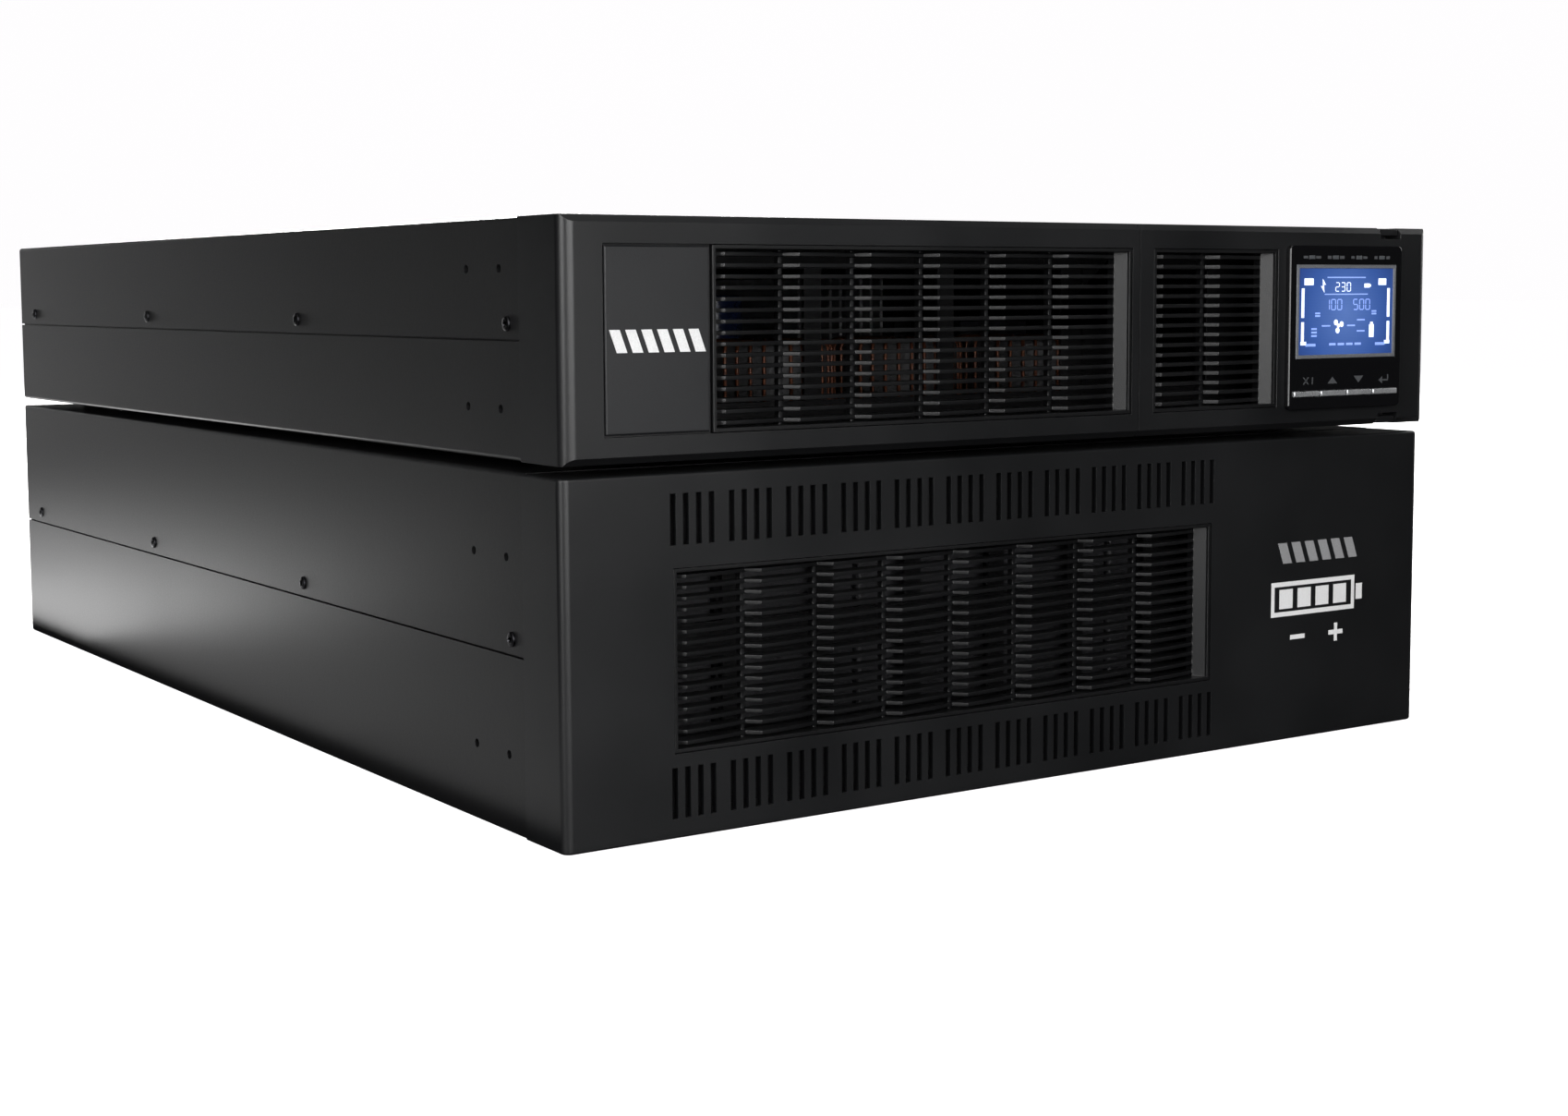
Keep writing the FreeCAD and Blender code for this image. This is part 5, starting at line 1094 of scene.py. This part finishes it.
# %% Screen pictograms
def plate_mesh():
    """A thin plate of one unit each way, facing forwards (-Y)."""
    mesh = bpy.data.meshes.new("plate")
    corners = [(x, y, z) for y in (-0.5, 0.5) for x, z in SQUARE]
    mesh.from_pydata(corners, [], [(0, 1, 2, 3), (7, 6, 5, 4), (0, 4, 5, 1), (1, 5, 6, 2), (2, 6, 7, 3),
                                   (3, 7, 4, 0)])
    return mesh


PLATE = plate_mesh()
INK = 0.05 * MM
DIGIT_WHITE, DIGIT_PALE = (2.5 * MM, 4.0 * MM), (2.9 * MM, 4.8 * MM)


def bars(name, entries, face_y, finish):
    """Upright plates in front of face_y: entries are (x, z, width, height)."""
    places = [((x, face_y - INK / 2, z), (0, 0, 1), 0.0, (w, INK, h)) for x, z, w, h in entries]
    return repeat_part(name, PLATE, places, finish)


def outlines(name, shapes, face_y, finish):
    """Thin plates cut to outlines of (x, z) points, in front of face_y."""
    shape = bmesh.new()
    for points in shapes:
        rows = [[shape.verts.new((x, y, z)) for x, z in points] for y in (face_y, face_y - INK)]
        sew(shape, rows)
        cap(shape, rows)
    mesh = outward_mesh(shape, name, smooth=False)
    mesh.materials.append(finish)
    return mesh


def on_screen(u, v):
    """A point of the screen from shares of its width and height."""
    return screen_low.x + u * screen_size.x, screen_high.z - v * screen_size.z


DIGIT_BARS = {"a": (0, 1, 1), "b": (1, 0.5, 0), "c": (1, -0.5, 0), "d": (0, -1, 1), "e": (-1, -0.5, 0),
              "f": (-1, 0.5, 0), "g": (0, 0, 1)}
DIGITS = {"0": "abcdef", "1": "bc", "2": "abged", "3": "abgcd", "5": "afgcd"}


def digit(character, u, v, wide, tall):
    """Bars of one seven-bar digit centred at the shares (u, v)."""
    x, z = on_screen(u, v)
    made = []
    for letter in DIGITS[character]:
        across, up, flat = DIGIT_BARS[letter]
        size = (wide * 0.72, tall * 0.085) if flat else (wide * 0.16, tall * 0.40)
        made.append((x + across * wide * 0.44, z + up * tall * 0.46, *size))
    return made


def screen_bar(u, v, wide, tall):
    x, z = on_screen(u, v)
    return (x, z, wide * MM, tall * MM)


def disc(x, z, radius):
    return [(x + a, z + b) for a, b in circle(radius, 14)]


white = [screen_bar(*entry) for entry in (
    (0.105, 0.155, 5.6, 2.9), (0.885, 0.155, 5.0, 2.9),
    (0.045, 0.40, 1.7, 12.5), (0.955, 0.40, 1.7, 12.5), (0.045, 0.735, 1.7, 8.6), (0.955, 0.735, 1.7, 8.6),
    (0.055, 0.865, 3.4, 1.5), (0.945, 0.865, 3.4, 1.5), (0.775, 0.73, 3.0, 5.6), (0.775, 0.645, 1.6, 1.4),
    (0.72, 0.20, 3.4, 1.8), (0.755, 0.20, 0.8, 1.0))]
pale = [screen_bar(*entry) for entry in (
    (0.13, 0.885, 6.2, 1.2), (0.87, 0.885, 6.2, 1.2), (0.50, 0.105, 24.0, 0.5), (0.50, 0.30, 27.0, 0.45),
    (0.20, 0.52, 3.0, 0.7), (0.20, 0.55, 3.0, 0.7), (0.80, 0.50, 3.0, 0.7), (0.80, 0.53, 3.0, 0.7),
    (0.36, 0.88, 4.0, 1.0), (0.45, 0.88, 4.0, 1.0), (0.54, 0.88, 4.0, 1.0), (0.63, 0.88, 4.0, 1.0),
    (0.29, 0.665, 5.2, 0.6), (0.555, 0.665, 5.0, 0.6), (0.66, 0.60, 5.0, 0.6), (0.66, 0.73, 5.0, 0.6),
    (0.165, 0.70, 3.4, 0.8), (0.165, 0.74, 3.4, 0.8), (0.165, 0.78, 3.4, 0.8))]
for character, u in (("2", 0.405), ("3", 0.465), ("0", 0.525)):
    white += digit(character, u, 0.215, *DIGIT_WHITE)
for character, u in (("1", 0.30), ("0", 0.365), ("0", 0.43), ("5", 0.60), ("0", 0.665), ("0", 0.73)):
    pale += digit(character, u, 0.42, *DIGIT_PALE)
fan_x, fan_z = on_screen(0.42, 0.665)
fan_arm = 2.1 * MM
icons = [disc(fan_x + fan_arm * math.cos(turn), fan_z + fan_arm * math.sin(turn), 1.25 * MM)
         for turn in (0.3, 2.4, 4.5)]
icons.append(disc(fan_x, fan_z, 0.9 * MM))
flash_x, flash_z = on_screen(0.255, 0.20)
FLASH = ((-0.4, 3.0), (1.5, 0.4), (0.4, 0.4), (0.7, -3.0), (-1.5, -0.2), (-0.3, -0.2))
icons.append([(flash_x + a * MM, flash_z + b * MM) for a, b in FLASH])
glass = screen_low.y
lit = joined("screen_segments", [bars("white_bars", white, glass, SCREEN_WHITE),
                                 bars("pale_bars", pale, glass, SCREEN_PALE),
                                 outlines("icons", icons, glass, SCREEN_WHITE)])
attach(lit, "display", "lit_screen")
print("screen shapes:", len(white) + len(pale) + len(icons))

# %% [markdown]
# ## Printed marks
#
# Plain symbols stand in for every word: two short dashes at each status lamp, a sign above each key, a
# bar and a box for on and off beside each breaker, an earth sign by the ground stud and pole signs above
# the battery sockets. Six equal slanted bars are the emblem, and a battery's outline says what the pack
# is. Each mark is ink a twentieth of a millimetre thick.

# %% Marks on the display
display_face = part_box("display_housing")[0].y
MARK_RISE = 5.6 * MM
mark_z = middle_of("key_up").z + MARK_RISE
marks = []


def slanted(x, z, wide, tall, lean=0.0):
    """A parallelogram centred at (x, z) whose top is pushed right by lean."""
    return [(x - wide / 2 - lean / 2, z - tall / 2), (x + wide / 2 - lean / 2, z - tall / 2),
            (x + wide / 2 + lean / 2, z + tall / 2), (x - wide / 2 + lean / 2, z + tall / 2)]


def sign(x, z, *parts):
    """Slanted bars about (x, z), each given in millimetres: across, up, width, height and lean."""
    return [slanted(x + a * MM, z + b * MM, w * MM, h * MM, *(lean * MM for lean in rest))
            for a, b, w, h, *rest in parts]


def print_on(name, shapes, face_y, ink, body, slot):
    """Prints outlines on a face and lets them ride with its body."""
    attach(add_object(name, outlines(name, shapes, face_y, ink)), body, slot)


key_x = {name: middle_of("key_" + name).x for name in ("escape", "up", "down", "enter")}
marks += sign(key_x["escape"], mark_z, (0, 0, 0.8, 3.0, -3.0), (0, 0, 0.8, 3.0, 3.0), (4.0, 0, 0.7, 3.0))
for name, tip in (("up", 1.5 * MM), ("down", -1.5 * MM)):
    marks.append([(key_x[name] - 3.0 * MM, mark_z - tip), (key_x[name] + 3.0 * MM, mark_z - tip),
                  (key_x[name], mark_z + tip)])
marks += sign(key_x["enter"], mark_z, (2.4, 0.5, 0.7, 2.4), (0.6, -0.7, 3.8, 0.7))
ARROW_HEAD = ((-1.2, -2.2), (-1.2, 0.8), (-3.6, -0.7))
marks.append([(key_x["enter"] + a * MM, mark_z + b * MM) for a, b in ARROW_HEAD])
lamps_low, lamps_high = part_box("status_lamps")
lamp_z = (lamps_low.z + lamps_high.z) / 2
LAMP_WIDTH = 3.4 * MM
lamp_step = (lamps_high.x - lamps_low.x - LAMP_WIDTH) / 3
for n in range(4):
    tall = 1.1 + 0.2 * (n % 2)
    marks += sign(lamps_low.x + LAMP_WIDTH / 2 + n * lamp_step, lamp_z,
                  (-3.9, 0, 2.6 - 0.25 * n, tall), (3.9, 0, 3.0 - 0.25 * n, tall))
print_on("display_marks", marks, display_face, PRINT_DIM, "display", "screen_trim")
print("marks on the display:", len(marks))

# %% Emblem, battery sign and rear symbols
def plus_sign(across, up, span, line, arm):
    """The bars of a plus sign, for sign()."""
    middle = (line + arm) / 2
    return [(across, up, span, line), (across, up + middle, line, arm), (across, up - middle, line, arm)]


badge = middle_of("badge_plate")
emblem = sign(badge.x, badge.z, *(((n - 2.5) * 6.4, -0.3, 4.2, 8.0, -3.0) for n in range(6)))
print_on("badge_emblem", emblem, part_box("badge_plate")[0].y, PRINT_WHITE, "left_cover", "badge_plastic")

cover_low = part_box("pack_front_cover")[0]
SIGN_FROM_LEFT = 374 * MM
sign_x, sign_z = cover_low.x + SIGN_FROM_LEFT, 62 * MM
CELLS = [(n * 11.2 - 19.4, 0, 8.2, 8.4) for n in range(4)]
OUTLINE = [(-2.5, 6.5, 52, 2.0), (-2.5, -6.5, 52, 2.0), (-27.5, 0, 2.0, 11), (22.5, 0, 2.0, 11)]
CAP_END = (26.5, 0, 4.0, 7)
MINUS_POLE = (-12, -17, 9.0, 2.0)
battery = sign(sign_x, sign_z, *OUTLINE, CAP_END, *CELLS, MINUS_POLE, *plus_sign(12, -17, 9.0, 2.0, 3.0))
print_on("battery_sign", battery, cover_low.y, PRINT_WHITE, "pack", "front_moulding")
pack_emblem = sign(sign_x, sign_z, *(((n - 2.5) * 8.2, 20, 5.4, 9.0, -3.4) for n in range(6)))
print_on("pack_emblem", pack_emblem, cover_low.y, PRINT_GREY, "pack", "front_moulding")


def switch_marks(node, lift):
    """A bar for on above and a box for off below, beside a breaker."""
    middle = middle_of(node)
    box = [(0, 2.2, 3.2, 0.8), (0, -2.2, 3.2, 0.8), (-2.0, 0, 0.8, 3.6), (2.0, 0, 0.8, 3.6)]
    return sign(middle.x, middle.z, (24, lift, 0.9, 5.0), *((24 + a, b - lift, w, h) for a, b, w, h in box))


stud = middle_of("ground_stud")
EARTH_SIGN = [(-11, 0, 7.0, 0.7), (-11, -1.7, 4.6, 0.7), (-11, -3.4, 2.2, 0.7), (-11, 2.1, 0.7, 3.6)]
rear_marks = sign(stud.x, stud.z, *EARTH_SIGN)
rear_marks += switch_marks("input_breaker", 8)
print_on("rear_marks", rear_marks, panel_face + INK, PRINT_WHITE, "ups", "case_paint")
pack_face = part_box("pack_rear_panel")[1].y
pack_marks = switch_marks("pack_breaker", 9)
sockets_low, sockets_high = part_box("pack_connectors")
for x in (sockets_low.x + 36 * MM, sockets_high.x - 36 * MM):
    pack_marks += sign(x, sockets_high.z + 8 * MM, *plus_sign(-13, 0, 5.0, 1.0, 2.0), (13, 0, 5.0, 1.0))
print_on("pack_rear_marks", pack_marks, pack_face + INK, PRINT_WHITE, "pack", "case_paint")
print("rear marks:", len(rear_marks) + len(pack_marks))

# %% [markdown]
# ## Floor and light
#
# Black things are lit by what they reflect, so the light is made of soft panels with dark between
# them. A panel far behind and low panels just above the floor make the long sides shine at their rear
# and fade towards the front. Panels in front and at the left give the corners their bright lines and
# reach the walls inside the slots. Two more light the back and the right side, and a soft sun stands
# overhead. The floor is plain and pale, and a plain white surround closes the view. Neither is
# reflected by the object, so the blacks stay deep.

# %% Floor and surround
def staged(item, material):
    """Part of the room: seen by the camera, but not in reflections or bounced light."""
    item.data.materials.append(material)
    item.visible_glossy = False
    item.visible_diffuse = False
    return item


def pale_floor():
    """A large flat sheet of pale paper under the object."""
    width = 80.0
    mesh = bpy.data.meshes.new("floor")
    mesh.from_pydata([(x * width, y * width, 0) for x, y in SQUARE], [], [(0, 1, 2, 3)])
    item = add_object("floor", mesh)
    material, tree, shader = new_finish("pale_paper")
    colour_by(tree, shader, noise(tree, object_place(tree), 60.0),
              [(0.3, (0.80, 0.795, 0.80)), (0.7, (0.83, 0.825, 0.83))])
    set_shader(shader, Roughness=0.95, Specular_IOR_Level=0.1, Emission_Color=(1.0, 0.99, 1.0, 1.0),
               Emission_Strength=0.86)
    return staged(item, material)


def white_surround(radius=38.0):
    """A white cylinder wall and lid that closes the view on every side."""
    shape = bmesh.new()
    rows = [[shape.verts.new((x, y, z)) for x, y in circle(r, 96)]
            for r, z in ((radius * 0.85, 20.0), (radius, 14.0), (radius, -0.5))]
    sew(shape, rows)
    shape.faces.new(list(reversed(rows[0])))
    mesh = bpy.data.meshes.new("surround")
    shape.to_mesh(mesh)
    shape.free()
    item = add_object("surround", mesh)
    material, tree, shader = new_finish("white_surround")
    clouds = noise(tree, object_place(tree), 0.05)
    tone = ramp(tree, clouds, [(0.3, (0.99, 0.98, 0.99)), (0.7, (1.0, 0.99, 1.0))])
    tree.links.new(tone, shader.inputs["Emission Color"])
    set_shader(shader, Base_Color=(0.0, 0.0, 0.0, 1.0), Emission_Strength=1.0)
    item.visible_shadow = False
    return staged(item, material)


floor = pale_floor()
surround = white_surround()
for item in (floor, surround):
    print(item.name, [round(d, 1) for d in item.dimensions])


# %% Lights
def soft_panel(name, place, aim, size, brightness):
    """A rectangular area light at place, facing aim; brightness 1 looks white."""
    data = bpy.data.lights.new(name, "AREA")
    data.shape = "RECTANGLE"
    data.size, data.size_y = size
    data.energy = brightness * math.pi * size[0] * size[1]
    lamp = bpy.data.objects.new(name, data)
    lamp.location = place
    lamp.rotation_euler = (Vector(aim) - Vector(place)).to_track_quat("-Z", "Y").to_euler()
    lamp.visible_camera = False
    bpy.context.scene.collection.objects.link(lamp)
    return lamp


def ambient_light(strength):
    """A weak even light, so that shaded places still show their shape."""
    world = bpy.data.worlds.new("studio")
    world.use_nodes = True
    sky = world.node_tree.nodes["Background"]
    sky.inputs["Color"].default_value = (1.0, 0.99, 1.0, 1.0)
    sky.inputs["Strength"].default_value = strength
    bpy.context.scene.world = world


def overhead_light(strength):
    """A very soft light from straight above, even over the whole floor."""
    data = bpy.data.lights.new("overhead", "SUN")
    data.energy = strength
    data.angle = math.radians(60)
    bpy.context.scene.collection.objects.link(bpy.data.objects.new("overhead", data))


def low_panel(name, x, y, size, brightness):
    """A panel that lies just above the floor and faces up."""
    soft_panel(name, (x, y, 3 * MM), (x, y, 5.0), size, brightness)


FRONT_AIM = (-0.219, -0.328, 0.12)
TALL_PANEL = (0.55, 0.95)
ambient_light(0.01)
overhead_light(0.54)
soft_panel("front", (-0.106, -1.623, 0.50), FRONT_AIM, TALL_PANEL, 7.6)
soft_panel("front_left", (-0.664, -1.550, 0.50), FRONT_AIM, TALL_PANEL, 6.0)
low_panel("low_wall", -0.32, 0.40, (0.18, 0.30), 3.3)
low_panel("low_rear", -0.34, 0.80, (0.22, 0.50), 1.9)
low_panel("low_side", -0.31, 0.08, (0.16, 0.34), 0.48)
low_panel("low_far", -0.90, 2.60, (1.30, 1.50), 0.8)
soft_panel("rear_left", (-0.38, 3.58, 0.45), (0.0, 0.0, 0.11), (0.50, 0.90), 3.2)
soft_panel("left", (-1.441, -0.773, 0.50), FRONT_AIM, TALL_PANEL, 8.0)
low_panel("low_front", -0.30, -0.20, (0.14, 0.22), 0.40)
soft_panel("rear_right", (1.20, 2.80, 1.70), (0.0, 0.3, 0.10), (1.60, 1.20), 36.0)
low_panel("low_back", 0.05, 0.85, (0.50, 0.80), 1.1)
soft_panel("right", (2.60, -0.10, 0.90), (0.2, 0.0, 0.10), (1.20, 1.20), 6.0)
low_panel("low_right", 0.70, 0.10, (0.70, 0.70), 0.9)
bpy.context.scene.view_settings.view_transform = "Standard"
